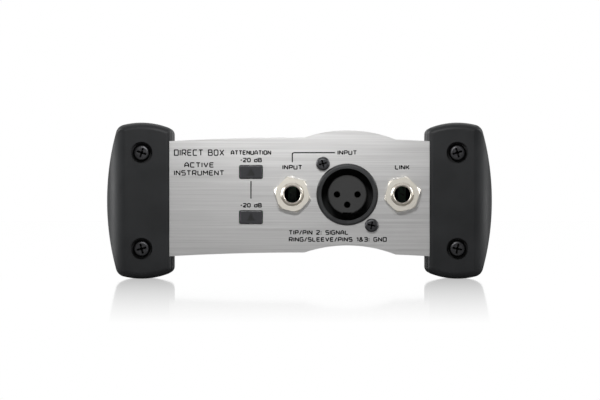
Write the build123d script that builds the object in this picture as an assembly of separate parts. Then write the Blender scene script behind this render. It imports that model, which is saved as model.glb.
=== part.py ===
from build123d import *
import math
import os

# Active direct injection box: an aluminium extrusion with a wavy roof, two panels and four rubber corners.
#
# Millimetres. +X is to the right as the input panel is looked at, -Y is out of it and +Z is up.
# The origin is the middle of the bounding box's footprint, on the surface that the rubber corners stand on.
# Each function builds one sub-assembly and returns a dictionary of node name to shape.

# --- overall -------------------------------------------------------------------------------------------
OVERALL_WIDTH = 150.0  # over the rubber corners
OVERALL_HEIGHT = 60.8  # over the rubber corners
OVERALL_DEPTH = 130.0  # from the jack bushings' tips to the output socket's screw heads
FIT_GAP = 0.1  # between pieces that are assembled by hand
RUN_GAP = 0.25  # all round a button in its panel hole

# --- housing extrusion ---------------------------------------------------------------------------------
HOUSING_HEIGHT = 44.8  # between the parallel roof and floor curves, measured upright
HOUSING_INSET = 8.5  # rubber thickness outside the housing's side wall
HOUSING_WALL = 2.0
HOUSING_EDGE_RADIUS = 4.0
ROOF_ABOVE_MIDDLE = 24.6  # crown of the shallow roof arc above the box's mid height
ROOF_ARC_RADIUS = 880.0
HUMP_RADIUS = 51.7
HUMP_ABOVE_MIDDLE = 27.35  # crown of the hump over the microphone sockets
GUIDE_DEPTH = 3.0  # how far the board guides stand in from the side walls
GUIDE_THICKNESS = 1.4
BOSS_WALL = 1.8  # metal round each screw channel

# --- panels --------------------------------------------------------------------------------------------
PANEL_THICKNESS = 1.5
PANEL_HALF_WIDTH = 50.65
EAR_INSET = 0.5  # the clamped ears stop this far inside the housing's outline
EAR_MARGIN = 3.4  # ear metal outside the screw's centre

# --- rubber corners ------------------------------------------------------------------------------------
CORNER_LENGTH = 38.0
CORNER_INNER_LINE = 25.65  # from the outermost side to the corner's inner face
CORNER_PROUD = 0.5  # rubber face in front of the panel face
CORNER_FRONT_WALL = 8.6  # rubber in front of the housing's end
CORNER_TOP_RADIUS = 29.2
CORNER_SIDE_RADIUS = 102.0
CORNER_OUTER_ROUND = 4.0
CORNER_INNER_ROUND = 2.7
CORNER_RIM_ROUND = 2.6  # round the edge of both ends
CORNER_BOW_ROUND = 8.0  # upright edge between the face and the side
CORNER_BOW_RELIEF = 0.05  # the bow meets the face and the side at a slight angle
CORNER_SCREW_INSET = 13.5  # screw line in from the outermost side
CORNER_SCREW_SPREAD = 37.4  # between the upper and the lower screw

# --- fasteners -----------------------------------------------------------------------------------------
CORNER_SCREW_DIAMETER = 3.5
CORNER_SCREW_HEAD = 6.7
CORNER_SCREW_HEAD_HEIGHT = 2.4
CORNER_SCREW_LENGTH = 16.0
HEAD_ROUND_SHARE = 0.55  # of the head's height
RECESS_WIDTH_SHARE = 0.58  # of the head's diameter
RECESS_DEPTH_SHARE = 1.15  # of the head's height
RECESS_ARM_SHARE = 0.2  # of the recess's width
RECESS_STRAIGHT_SHARE = 0.6  # of the recess's depth, the cone goes on from its middle
RECESS_CONE_ANGLE = 20.0
SCREW_POINT_SHARE = 0.2  # of the shank's diameter
CORNER_SCREW_TURNS = (-18, 15, 18, -12)  # how far each driven screw's recess is from upright, degrees
INPUT_SCREW_TURNS = (15, -12)
OUTPUT_SCREW_TURNS = (30, 5)
COUNTERBORE_DIAMETER = 8.5
COUNTERBORE_DEPTH = 3.4
SOCKET_SCREW_DIAMETER = 2.9
SOCKET_SCREW_HEAD = 5.35
SOCKET_SCREW_HEAD_HEIGHT = 1.9
SOCKET_SCREW_LENGTH = 8.0

# --- panel layout --------------------------------------------------------------------------------------
SOCKET_LINE_ABOVE_MIDDLE = 2.4  # the sockets' common axis height
XLR_X = 18.6
PAD_BUTTON_X = -18.9
PAD_BUTTON_RISE = 8.8  # each attenuator button above or below the socket line
GROUND_BUTTON_X = -10.0
POWER_BUTTON_X = -34.0
LAMP_RISE = 9.0  # lamp above the power button

# --- 6.35 mm jacks -------------------------------------------------------------------------------------
JACK_BORE = 6.4
JACK_THREAD = 9.0
JACK_PROUD = 3.9  # bushing tip in front of the panel
JACK_NUT_FLATS = 12.6
JACK_NUT_HEIGHT = 2.5
JACK_NUT_CORNER_CUT = 0.75  # taken off each corner at the nut's outer face
JACK_WASHER_THICKNESS = 0.5
JACK_WASHER_DIAMETER = 12.0
JACK_SHOULDER_DIAMETER = 12.4
JACK_SHOULDER = 1.2
JACK_BODY_WIDTH = 14.4
JACK_BODY_ROUND = 1.2
JACK_CAVITY = 8.2  # room for the plug behind the bushing
JACK_FLOOR = 1.5  # moulding that closes the cavity's end
JACK_TIP_CHAMFER = 0.7
BLADE_WIDTH = 3.0  # tip and sleeve springs
BLADE_THICKNESS = 0.4
BLADE_LENGTH = 11.0
BLADE_STANDOFF = 0.5  # from the bore's line to each spring
JACK_NUT_TURNS = (-13.6, 14.3)  # each nut is tightened to its own angle, degrees

# --- three-pole microphone sockets ---------------------------------------------------------------------
XLR_BARREL_DIAMETER = 23.9
XLR_BARREL_BORE = 20.3
XLR_PROUD = 1.2
XLR_PIN_CIRCLE = 8.0
XLR_PIN_DIAMETER = 2.36
XLR_INSERT_DIAMETER = 15.1
XLR_CUP_BORE = 16.1
XLR_CUP_DEPTH = 13.0
XLR_FLANGE_MARGIN = 1.05  # flange outside the barrel, at each side
XLR_FLANGE_OVERHANG = 3.5  # flange above and below the screws' centres
XLR_JACK_CLEARANCE = 1.2  # between the flange and a jack's body
XLR_SCREW_CLEARANCE = 0.68  # between the barrel and a screw's head
XLR_SCREW_ANGLE = 51.63  # of the upper screw above the socket's middle, degrees
XLR_FLANGE_THICKNESS = 3.0
XLR_BODY_DEPTH = 22.0  # from the panel's outer face to the insert's back
XLR_RIM_ROUND = 0.8
XLR_FLANGE_ROUND = 2.0
XLR_BASE_LENGTH = 6.0  # the insert's collar that seats in the shell
XLR_TIP_CHAMFER = 0.35
XLR_KEY_WIDTH = 3.4
XLR_KEY_DEPTH = 0.6
XLR_POST_WALL = 1.5  # casting round each screw's thread
CONTACT_WALL = 0.6
CONTACT_SETBACK = 3.0  # from the insert's face to each contact
CONTACT_FLOOR = 3.0
PIN_TIP_SHARE = 0.35  # tip rounding as a share of the pin's diameter
PIN_SETBACK = 0.4  # pins end this far inside the panel's face
TAIL_DIAMETER = 1.0  # solder tails of contacts and pins

# --- latching push switches ----------------------------------------------------------------------------
BUTTON_WIDTH = 8.85
BUTTON_HEIGHT = 4.85
BUTTON_ROUND = 0.45
BUTTON_PROUD = 1.2
BUTTON_LENGTH = 8.5
BUTTON_TRAVEL = 2.5
BUTTON_FACE_ROUND = 0.3
BUTTON_SOCKET_DEPTH = 5.0  # how far the plunger goes into the button
ARROW_WIDTH = 3.2
ARROW_HEIGHT = 2.9
ARROW_DEPTH = 0.3
PLUNGER_WIDTH = 2.8
SWITCH_BODY_WIDTH = 8.4
SWITCH_BODY_LENGTH = 13.0
SWITCH_BODY_ROUND = 0.4
SWITCH_FLOOR = 1.0
SWITCH_END_ROOM = 0.5  # between the pressed plunger and the switch's floor
SPRING_SEAT_GAP = 0.2
SPRING_WIRE = 0.35
SPRING_DIAMETER = 5.2
SPRING_TURNS = 6

# --- boards and what is on them ------------------------------------------------------------------------
BOARD_THICKNESS = 1.6
BOARD_SETBACK = 29.6  # from each panel's outer face to its upright board
UPRIGHT_BOARD_MARGIN = 1.6  # upright boards stop this far inside the housing
MAIN_BOARD_BELOW_MIDDLE = 12.0
BOARD_GAP = 0.5
BOARD_MARGIN = 3.0  # upright boards reach this far past what is soldered to them
LAMP_DIAMETER = 3.0
LAMP_PROUD = 1.5
LAMP_RIM = 0.4
LAMP_FLANGE = 1.0
LAMP_SPACER_WALL = 0.6
LAMP_LEAD = 0.5
LEAD_HOLE_GAP = 0.1
BATTERY_LENGTH = 45.5
BATTERY_WIDTH = 26.2
BATTERY_HEIGHT = 17.2
BATTERY_ROUND = 2.0
BATTERY_SHIFT = -3.0  # along the box from its middle
BATTERY_STUD = 3.0
BATTERY_STUD_OFFSET = 6.35
BATTERY_STUD_DIAMETERS = (5.6, 7.0)
SNAP_THICKNESS = 5.0
SNAP_INSET = 0.6
SNAP_ROUND = 3.0
TRAY_WALL = 1.2
TRAY_DEPTH = 9.0
TRAY_OPEN_END = 4.0  # the tray ends this far before the battery does
LEAD_DIAMETER = 1.4
LEAD_BEND = 5.0
LEAD_RISE = 3.0  # each lead above or below the battery's middle
LEAD_REACHES = (8.0, 13.0)
TRANSFORMER_SHIFT = 12.0  # to the right of the microphone sockets
CORE_LENGTH = 26.0
CORE_DEPTH = 12.0
CORE_HEIGHT = 22.0
CORE_LEG = 4.4
BOBBIN_WALL = 0.8
WINDING_MARGIN = 0.4  # bobbin flange outside the winding
STRAP_THICKNESS = 0.8
STRAP_WIDTH = 8.0
STRAP_FOOT = 4.0
HEADER_PITCH = 2.54
HEADER_PINS = 8
HEADER_PIN = 0.64
HEADER_SETBACK = 2.6  # from an upright board to its pin strip
CAPACITOR_DIAMETER = 6.3
CAPACITOR_HEIGHT = 11.0
CAPACITOR_PITCH = 9.0
CAPACITOR_ROW = 12.0  # each row from the board's middle
CAPACITOR_COLUMNS = 3
FIRST_CAPACITOR_X = -22.0
CHIP_LENGTH = 9.6
CHIP_WIDTH = 6.4
CHIP_HEIGHT = 3.4
CHIP_STANDOFF = 0.2
CHIP_PITCH = 13.0
FIRST_CHIP_X = -18.0
RESISTOR_DIAMETER = 1.9
RESISTOR_LENGTH = 5.4
RESISTOR_STANDOFF = 0.2
RESISTOR_PITCH = 2.6
RESISTOR_COUNT = 6
FIRST_RESISTOR_X = -1.0
RESISTOR_SETBACK = 9.5  # from the main board's rear edge to the resistors' middle

# --- worked out ----------------------------------------------------------------------------------------
MIDDLE_Z = OVERALL_HEIGHT / 2
SOCKET_Z = MIDDLE_Z + SOCKET_LINE_ABOVE_MIDDLE
FRONT_Y = -OVERALL_DEPTH / 2 + JACK_PROUD  # outer face of the input panel
REAR_Y = OVERALL_DEPTH / 2 - SOCKET_SCREW_HEAD_HEIGHT  # outer face of the output panel
XLR_SCREW_RADIUS = (XLR_BARREL_DIAMETER + SOCKET_SCREW_HEAD) / 2 + XLR_SCREW_CLEARANCE
XLR_SCREW_ACROSS = XLR_SCREW_RADIUS * math.cos(math.radians(XLR_SCREW_ANGLE))
XLR_SCREW_UP = XLR_SCREW_RADIUS * math.sin(math.radians(XLR_SCREW_ANGLE))
XLR_FLANGE_WIDTH = XLR_BARREL_DIAMETER + 2 * XLR_FLANGE_MARGIN
XLR_FLANGE_HEIGHT = 2 * (XLR_SCREW_UP + XLR_FLANGE_OVERHANG)
JACK_SPACING = (XLR_FLANGE_WIDTH + JACK_BODY_WIDTH) / 2 + XLR_JACK_CLEARANCE  # from the socket to each jack
MID_Y = (FRONT_Y + REAR_Y) / 2
HALF_BODY = (REAR_Y - FRONT_Y) / 2
HOUSING_HALF = OVERALL_WIDTH / 2 - HOUSING_INSET
CORNER_INNER_X = OVERALL_WIDTH / 2 - CORNER_INNER_LINE
SCREW_X = OVERALL_WIDTH / 2 - CORNER_SCREW_INSET
SCREW_RISE = CORNER_SCREW_SPREAD / 2
ROOF_Z = MIDDLE_Z + ROOF_ABOVE_MIDDLE
MAIN_BOARD_Z = MIDDLE_Z - MAIN_BOARD_BELOW_MIDDLE  # underside of the main board
MAIN_BOARD_TOP = MAIN_BOARD_Z + BOARD_THICKNESS
EAR_PLANE = CORNER_FRONT_WALL - CORNER_PROUD - PANEL_THICKNESS  # panel's outer face to ear's outer face
BOARD_HALF_SPAN = HALF_BODY - BOARD_SETBACK - BOARD_THICKNESS - BOARD_GAP
INNER_HALF = HOUSING_HALF - HOUSING_WALL


# --- small helpers -------------------------------------------------------------------------------------
def slab(sketch, y0, y1):
    """The sketch, drawn in X and Z, as a solid from y0 to y1."""
    plane = Plane(origin=(0, max(y0, y1), 0), x_dir=(1, 0, 0), z_dir=(0, -1, 0))
    return extrude(plane * sketch, amount=abs(y1 - y0))


def rod(diameter, x, z, y0, y1):
    """A round bar along Y."""
    return slab(Pos(x, z) * Circle(diameter / 2), y0, y1)


def bar(width, height, x, z, y0, y1, corner=0.0):
    """A rectangular bar along Y, centred on x and z, with its long edges rounded."""
    outline = RectangleRounded(width, height, corner) if corner else Rectangle(width, height)
    return slab(Pos(x, z) * outline, y0, y1)


def block(x, y, z):
    """A box from three (low, high) pairs."""
    middle = [(low + high) / 2 for low, high in (x, y, z)]
    return Pos(*middle) * Box(x[1] - x[0], y[1] - y[0], z[1] - z[0])


def circles_meet(centre_a, radius_a, centre_b, radius_b):
    """The two points where two circles cross, left one first."""
    ax, az = centre_a
    bx, bz = centre_b
    apart = math.hypot(bx - ax, bz - az)
    along = (radius_a**2 - radius_b**2 + apart**2) / (2 * apart)
    across = math.sqrt(radius_a**2 - along**2)
    ux, uz = (bx - ax) / apart, (bz - az) / apart
    foot = (ax + along * ux, az + along * uz)
    points = [(foot[0] - side * across * uz, foot[1] + side * across * ux) for side in (-1, 1)]
    return sorted(points)


def arc_height(centre, radius, x):
    """Height of a circle's upper half at x."""
    return centre[1] + math.sqrt(radius**2 - (x - centre[0]) ** 2)


def wave_outline(half_width, inset=0.0):
    """The housing's cross-section: a shallow arc with a hump, over the same curve moved straight down.

    A positive inset draws the curve that far inside the housing's surface, and a negative one outside it.
    """
    roof_centre, roof_radius = (0, ROOF_Z - ROOF_ARC_RADIUS), ROOF_ARC_RADIUS
    hump_centre, hump_radius = (XLR_X, MIDDLE_Z + HUMP_ABOVE_MIDDLE - HUMP_RADIUS), HUMP_RADIUS

    def edge(shift, grow, turn):
        """One long edge, from left to right, or from right to left if turn is set."""
        roof = (roof_centre[0], roof_centre[1] + shift)
        hump = (hump_centre[0], hump_centre[1] + shift)
        big, small = roof_radius + grow, hump_radius + grow
        left, right = circles_meet(roof, big, hump, small)
        start = (-half_width, arc_height(roof, big, -half_width))
        finish = (half_width, arc_height(roof, big, half_width))
        before, after = (start[0] + left[0]) / 2, (right[0] + finish[0]) / 2
        arcs = [
            (start, (before, arc_height(roof, big, before)), left),
            (left, (hump[0], hump[1] + small), right),
            (right, (after, arc_height(roof, big, after)), finish),
        ]
        if turn:
            arcs = [points[::-1] for points in arcs[::-1]]
        return [ThreePointArc(*points) for points in arcs], arcs[0][0], arcs[-1][-1]

    upper, upper_start, upper_end = edge(0.0, -inset, False)
    lower, lower_start, lower_end = edge(-HOUSING_HEIGHT, inset, True)
    sides = [Line(upper_end, lower_start), Line(lower_end, upper_start)]
    return make_face(Curve() + upper + lower + sides)


def housing_outline(grow=0.0):
    """The housing's cross-section with its four long edges rounded."""
    outline = wave_outline(HOUSING_HALF + grow, -grow)
    ends = outline.vertices().filter_by(lambda v: abs(v.X) > HOUSING_HALF + grow - 1e-3)
    return fillet(ends, HOUSING_EDGE_RADIUS + grow)


def between_x(shape, low, high):
    """The part of a sketch with x from low to high."""
    reach = 2 * OVERALL_HEIGHT
    return shape & (Pos((low + high) / 2, MIDDLE_Z) * Rectangle(high - low, reach))


def screw_places():
    """The corner screws' x and z on one panel, left pair first."""
    return [(side * SCREW_X, MIDDLE_Z + rise) for side in (-1, 1) for rise in (SCREW_RISE, -SCREW_RISE)]


def to_rear(shape):
    """A front piece turned end for end, so that it serves the output panel at the same x."""
    return mirror(shape, about=Plane(origin=(0, MID_Y, 0), x_dir=(1, 0, 0), z_dir=(0, 1, 0)))


def cross_recess(diameter, depth, x, z, y, turn):
    """The cutter for a cross recess that goes in from y towards +Y, with a cone at its middle."""
    arm = diameter * RECESS_ARM_SHARE
    cross = Rectangle(diameter, arm) + Rectangle(arm, diameter)
    cone_start = y + depth / 2
    straight = slab(Pos(x, z) * Rot(0, 0, turn) * cross, y, y + depth * RECESS_STRAIGHT_SHARE)
    plane = Plane(origin=(0, cone_start, 0), x_dir=(1, 0, 0), z_dir=(0, 1, 0))
    cone = extrude(plane * Pos(x, -z) * Circle(arm), amount=depth / 2, taper=RECESS_CONE_ANGLE)
    return straight + cone


def pan_screw(diameter, head, head_height, length, x, z, seat, turn):
    """A cross-recessed pan head screw that points along +Y, with its head's underside at seat."""
    top = seat - head_height
    cap = rod(head, x, z, top, seat)
    cap = fillet(cap.faces().sort_by(Axis.Y)[0].edges(), head_height * HEAD_ROUND_SHARE)
    shank = rod(diameter, x, z, seat, seat + length)
    shank = chamfer(shank.faces().sort_by(Axis.Y)[-1].edges(), diameter * SCREW_POINT_SHARE)
    recess = cross_recess(head * RECESS_WIDTH_SHARE, head_height * RECESS_DEPTH_SHARE, x, z, top, turn)
    return cap + shank - recess


# --- casing --------------------------------------------------------------------------------------------
def make_housing():
    """The extrusion: a wavy tube with screw channels and board guides, its sides cut back at both ends."""
    front, rear = FRONT_Y + PANEL_THICKNESS, REAR_Y - PANEL_THICKNESS
    side_front, side_rear = front + EAR_PLANE + PANEL_THICKNESS, rear - EAR_PLANE - PANEL_THICKNESS
    profile = housing_outline() - wave_outline(INNER_HALF, HOUSING_WALL)
    boss = CORNER_SCREW_DIAMETER / 2 + BOSS_WALL
    for x, z in screw_places():
        profile += (Pos(x, z) * Circle(boss)) & housing_outline(-FIT_GAP)
    guide_offset = FIT_GAP + GUIDE_THICKNESS / 2
    for side in (-1, 1):
        for z in (MAIN_BOARD_Z - guide_offset, MAIN_BOARD_TOP + guide_offset):
            rib_x = side * (INNER_HALF - GUIDE_DEPTH / 2 + HOUSING_WALL / 4)
            profile += Pos(rib_x, z) * Rectangle(GUIDE_DEPTH + HOUSING_WALL / 2, GUIDE_THICKNESS)
    for x, z in screw_places():
        profile -= Pos(x, z) * Circle(CORNER_SCREW_DIAMETER / 2 + FIT_GAP / 2)
    tongues = between_x(
        wave_outline(HOUSING_HALF) - wave_outline(HOUSING_HALF + 1, HOUSING_WALL),
        -PANEL_HALF_WIDTH + PANEL_THICKNESS + FIT_GAP,
        PANEL_HALF_WIDTH - PANEL_THICKNESS - FIT_GAP,
    )
    return {"housing": slab(profile, side_front, side_rear) + slab(tongues, front, rear)}


def panel_blank():
    """The input panel before its openings: a plate with two bent flanges and two clamped ears."""
    inner = FRONT_Y + PANEL_THICKNESS
    ear_front = inner + EAR_PLANE
    ear_reach = SCREW_X + EAR_MARGIN
    blank = slab(wave_outline(PANEL_HALF_WIDTH), FRONT_Y, inner)
    tucked = housing_outline(-EAR_INSET)
    for low, high in ((-ear_reach, -PANEL_HALF_WIDTH), (PANEL_HALF_WIDTH, ear_reach)):
        side = 1 if low > 0 else -1
        bend = sorted((side * (PANEL_HALF_WIDTH - PANEL_THICKNESS), side * PANEL_HALF_WIDTH))
        blank += slab(between_x(tucked, *bend), inner, ear_front + PANEL_THICKNESS)
        blank += slab(between_x(tucked, low, high), ear_front, ear_front + PANEL_THICKNESS)
    for x, z in screw_places():
        blank -= rod(CORNER_SCREW_DIAMETER + 2 * FIT_GAP, x, z, ear_front, ear_front + PANEL_THICKNESS)
    return blank


def button_hole(x, z):
    """The cutter for one button's window in a front panel."""
    width, height = BUTTON_WIDTH + 2 * RUN_GAP, BUTTON_HEIGHT + 2 * RUN_GAP
    return bar(width, height, x, z, FRONT_Y, FRONT_Y + PANEL_THICKNESS, BUTTON_ROUND + RUN_GAP)


def socket_holes(handed):
    """The cutters for a microphone socket's barrel and its two screws in a front panel."""
    depth = FRONT_Y + PANEL_THICKNESS
    cutters = rod(XLR_BARREL_DIAMETER + 2 * FIT_GAP, XLR_X, SOCKET_Z, FRONT_Y, depth)
    for x, z in socket_screw_places(handed):
        cutters += rod(SOCKET_SCREW_DIAMETER + 2 * FIT_GAP, x, z, FRONT_Y, depth)
    return cutters


def socket_screw_places(handed):
    """Upper and lower screw of a microphone socket; handed is 1 at the input panel and -1 at the output."""
    across = handed * XLR_SCREW_ACROSS
    return [(XLR_X - across, SOCKET_Z + XLR_SCREW_UP), (XLR_X + across, SOCKET_Z - XLR_SCREW_UP)]


def make_panels():
    """The input panel and the output panel, each a bent sheet that the corner screws clamp."""
    inner = FRONT_Y + PANEL_THICKNESS
    front = panel_blank() - socket_holes(1)
    for x in jack_places():
        front -= rod(JACK_THREAD + 2 * FIT_GAP, x, SOCKET_Z, FRONT_Y, inner)
    for rise in (PAD_BUTTON_RISE, -PAD_BUTTON_RISE):
        front -= button_hole(PAD_BUTTON_X, SOCKET_Z + rise)
    rear = panel_blank() - socket_holes(-1)
    for x in (GROUND_BUTTON_X, POWER_BUTTON_X):
        rear -= button_hole(x, SOCKET_Z)
    rear -= rod(LAMP_DIAMETER + 2 * FIT_GAP, POWER_BUTTON_X, SOCKET_Z + LAMP_RISE, FRONT_Y, inner)
    return {"front_panel": front, "rear_panel": to_rear(rear)}


def corner_outline():
    """The right-hand corner from the front: a crowned top and bottom, a bowed side, a straight inner edge."""
    reach = OVERALL_WIDTH / 2
    side_centre = (reach - CORNER_SIDE_RADIUS, MIDDLE_Z)
    top_centre = (SCREW_X, OVERALL_HEIGHT - CORNER_TOP_RADIUS)
    meetings = circles_meet(side_centre, CORNER_SIDE_RADIUS, top_centre, CORNER_TOP_RADIUS)
    shoulder = max(meetings, key=lambda point: point[1])
    inner_top = (CORNER_INNER_X, arc_height(top_centre, CORNER_TOP_RADIUS, CORNER_INNER_X))

    def below(point):
        """The point reflected in the box's mid height."""
        return (point[0], 2 * MIDDLE_Z - point[1])

    crown = (SCREW_X, OVERALL_HEIGHT)
    lines = [
        ThreePointArc(inner_top, crown, shoulder),
        ThreePointArc(shoulder, (reach, MIDDLE_Z), below(shoulder)),
        ThreePointArc(below(shoulder), below(crown), below(inner_top)),
        Line(below(inner_top), inner_top),
    ]
    face = make_face(Curve() + lines)
    outer = face.vertices().filter_by(lambda v: v.X > SCREW_X)
    face = fillet(outer, CORNER_OUTER_ROUND)
    inner = face.vertices().filter_by(lambda v: v.X < CORNER_INNER_X + 1e-3)
    return fillet(inner, CORNER_INNER_ROUND)


def corner_plan(start, end):
    """The room that the right-hand corner may fill, seen from above: its upright front edge is bowed."""
    radius, margin = CORNER_BOW_ROUND, 1.0
    low_x, high_x = CORNER_INNER_X - margin, OVERALL_WIDTH / 2 + margin
    centre_x, centre_y = OVERALL_WIDTH / 2 - radius, start + radius
    back = end + margin
    face_room = Pos((low_x + centre_x) / 2, (start - margin + back) / 2)
    side_room = Pos((centre_x + high_x) / 2, (centre_y + back) / 2)
    return (
        face_room * Rectangle(centre_x - low_x, back - start + margin)
        + side_room * Rectangle(high_x - centre_x, back - centre_y)
        + Pos(centre_x, centre_y) * Circle(radius + CORNER_BOW_RELIEF)
    )


def make_corners():
    """Four rubber corners, each slipped over one end of the housing and held by two counterbored screws."""
    start = FRONT_Y - CORNER_PROUD
    end = start + CORNER_LENGTH
    ear_front = FRONT_Y + PANEL_THICKNESS + EAR_PLANE
    body = slab(corner_outline(), start, end)
    for end_index in (0, -1):
        body = fillet(body.faces().sort_by(Axis.Y)[end_index].edges(), CORNER_RIM_ROUND)
    body &= extrude(corner_plan(start, end), amount=OVERALL_HEIGHT)
    body -= slab(housing_outline(FIT_GAP), ear_front, end)
    lip = between_x(wave_outline(HOUSING_HALF, -FIT_GAP), CORNER_INNER_X - 1, PANEL_HALF_WIDTH + FIT_GAP)
    body -= slab(lip, start, ear_front)
    for x, z in screw_places():
        if x > 0:
            body -= rod(CORNER_SCREW_DIAMETER + 2 * FIT_GAP, x, z, start, ear_front)
            body -= rod(COUNTERBORE_DIAMETER, x, z, start, start + COUNTERBORE_DEPTH)
    left = mirror(body, about=Plane.YZ)
    return {
        "corner_front_right": body,
        "corner_front_left": left,
        "corner_rear_right": to_rear(body),
        "corner_rear_left": to_rear(left),
    }


def make_corner_screws():
    """The eight screws that hold the corners and the panels' ears to the housing."""
    seat = FRONT_Y - CORNER_PROUD + COUNTERBORE_DEPTH
    sizes = (CORNER_SCREW_DIAMETER, CORNER_SCREW_HEAD, CORNER_SCREW_HEAD_HEIGHT, CORNER_SCREW_LENGTH)
    driven = zip(screw_places(), CORNER_SCREW_TURNS)
    front = [pan_screw(*sizes, x, z, seat, turn) for (x, z), turn in driven]
    return {"corner_screws": Compound(children=front + [to_rear(screw) for screw in front])}


# --- jacks ---------------------------------------------------------------------------------------------
def jack_places():
    """The x of the input jack and of the link jack."""
    return (XLR_X - JACK_SPACING, XLR_X + JACK_SPACING)


def make_jack(name, x):
    """One 6.35 mm jack: a moulded body with a metal bushing, a tip spring and a sleeve contact."""
    inner = FRONT_Y + PANEL_THICKNESS
    board = FRONT_Y + BOARD_SETBACK
    shoulder_back = inner + JACK_SHOULDER
    bushing = rod(JACK_THREAD, x, SOCKET_Z, FRONT_Y - JACK_PROUD, shoulder_back)
    tip_edge = bushing.faces().sort_by(Axis.Y)[0].edges()
    bushing = chamfer(tip_edge, JACK_TIP_CHAMFER)
    bushing += rod(JACK_SHOULDER_DIAMETER, x, SOCKET_Z, inner, shoulder_back)
    bushing -= rod(JACK_BORE, x, SOCKET_Z, FRONT_Y - JACK_PROUD, shoulder_back)
    body = bar(JACK_BODY_WIDTH, JACK_BODY_WIDTH, x, SOCKET_Z, shoulder_back, board, JACK_BODY_ROUND)
    body -= rod(JACK_CAVITY, x, SOCKET_Z, shoulder_back, board - JACK_FLOOR)
    half, reach = BLADE_WIDTH / 2, JACK_BORE / 2 + BLADE_STANDOFF
    slot_reach = reach + BLADE_THICKNESS + FIT_GAP
    slot_y = (board - BLADE_LENGTH - FIT_GAP, board)
    slot_x = (x - half - FIT_GAP, x + half + FIT_GAP)
    blades = []
    for side in (-1, 1):
        body -= block(slot_x, slot_y, sorted((SOCKET_Z, SOCKET_Z + side * slot_reach)))
        blade_z = sorted((SOCKET_Z + side * reach, SOCKET_Z + side * (reach + BLADE_THICKNESS)))
        blades.append(block((x - half, x + half), (board - BLADE_LENGTH, board), blade_z))
    return {
        f"{name}_jack_body": body,
        f"{name}_jack_bushing": bushing,
        f"{name}_jack_contacts": Compound(children=blades),
    }


def make_jack_hardware():
    """The two hexagon nuts and the two flat washers that clamp the jacks to the input panel."""
    nuts, washers = [], []
    washer_front = FRONT_Y - JACK_WASHER_THICKNESS
    nut_front = washer_front - JACK_NUT_HEIGHT
    corner_radius = JACK_NUT_FLATS / math.sqrt(3)
    for x, turn in zip(jack_places(), JACK_NUT_TURNS):
        hexagon = Pos(x, SOCKET_Z) * Rot(0, 0, turn) * RegularPolygon(corner_radius, 6)
        cone_plane = Plane(origin=(0, washer_front, 0), x_dir=(1, 0, 0), z_dir=(0, -1, 0))
        disc = Pos(x, SOCKET_Z) * Circle(corner_radius + JACK_NUT_HEIGHT - JACK_NUT_CORNER_CUT)
        cone = extrude(cone_plane * disc, amount=JACK_NUT_HEIGHT, taper=45)
        nut = slab(hexagon, nut_front, washer_front) & cone
        nuts.append(nut - rod(JACK_THREAD + FIT_GAP, x, SOCKET_Z, nut_front, washer_front))
        washer = rod(JACK_WASHER_DIAMETER, x, SOCKET_Z, washer_front, FRONT_Y)
        washers.append(washer - rod(JACK_THREAD + FIT_GAP, x, SOCKET_Z, washer_front, FRONT_Y))
    return {"jack_nuts": Compound(children=nuts), "jack_washers": Compound(children=washers)}


# --- microphone sockets --------------------------------------------------------------------------------
def pin_places():
    """The three poles round the socket's axis: left, right and below."""
    reach = XLR_PIN_CIRCLE / 2
    return [(XLR_X - reach, SOCKET_Z), (XLR_X + reach, SOCKET_Z), (XLR_X, SOCKET_Z - reach)]


def socket_shell(bore, back, handed):
    """A die-cast shell: a round barrel through the panel, on a flange behind it for the two screws."""
    inner = FRONT_Y + PANEL_THICKNESS
    rim = FRONT_Y - XLR_PROUD
    shell = rod(XLR_BARREL_DIAMETER, XLR_X, SOCKET_Z, rim, back)
    shell = fillet(shell.faces().sort_by(Axis.Y)[0].edges(), XLR_RIM_ROUND)
    flange_back = inner + XLR_FLANGE_THICKNESS
    shell += bar(XLR_FLANGE_WIDTH, XLR_FLANGE_HEIGHT, XLR_X, SOCKET_Z, inner, flange_back, XLR_FLANGE_ROUND)
    shell -= rod(bore, XLR_X, SOCKET_Z, rim, back)
    post_end = inner + SOCKET_SCREW_LENGTH
    for x, z in socket_screw_places(handed):
        post = rod(SOCKET_SCREW_DIAMETER + 2 * XLR_POST_WALL, x, z, inner, post_end)
        shell += post - rod(XLR_BARREL_DIAMETER - XLR_RIM_ROUND, XLR_X, SOCKET_Z, inner, post_end)
        shell -= rod(SOCKET_SCREW_DIAMETER + FIT_GAP, x, z, inner, post_end)
    return shell


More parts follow.
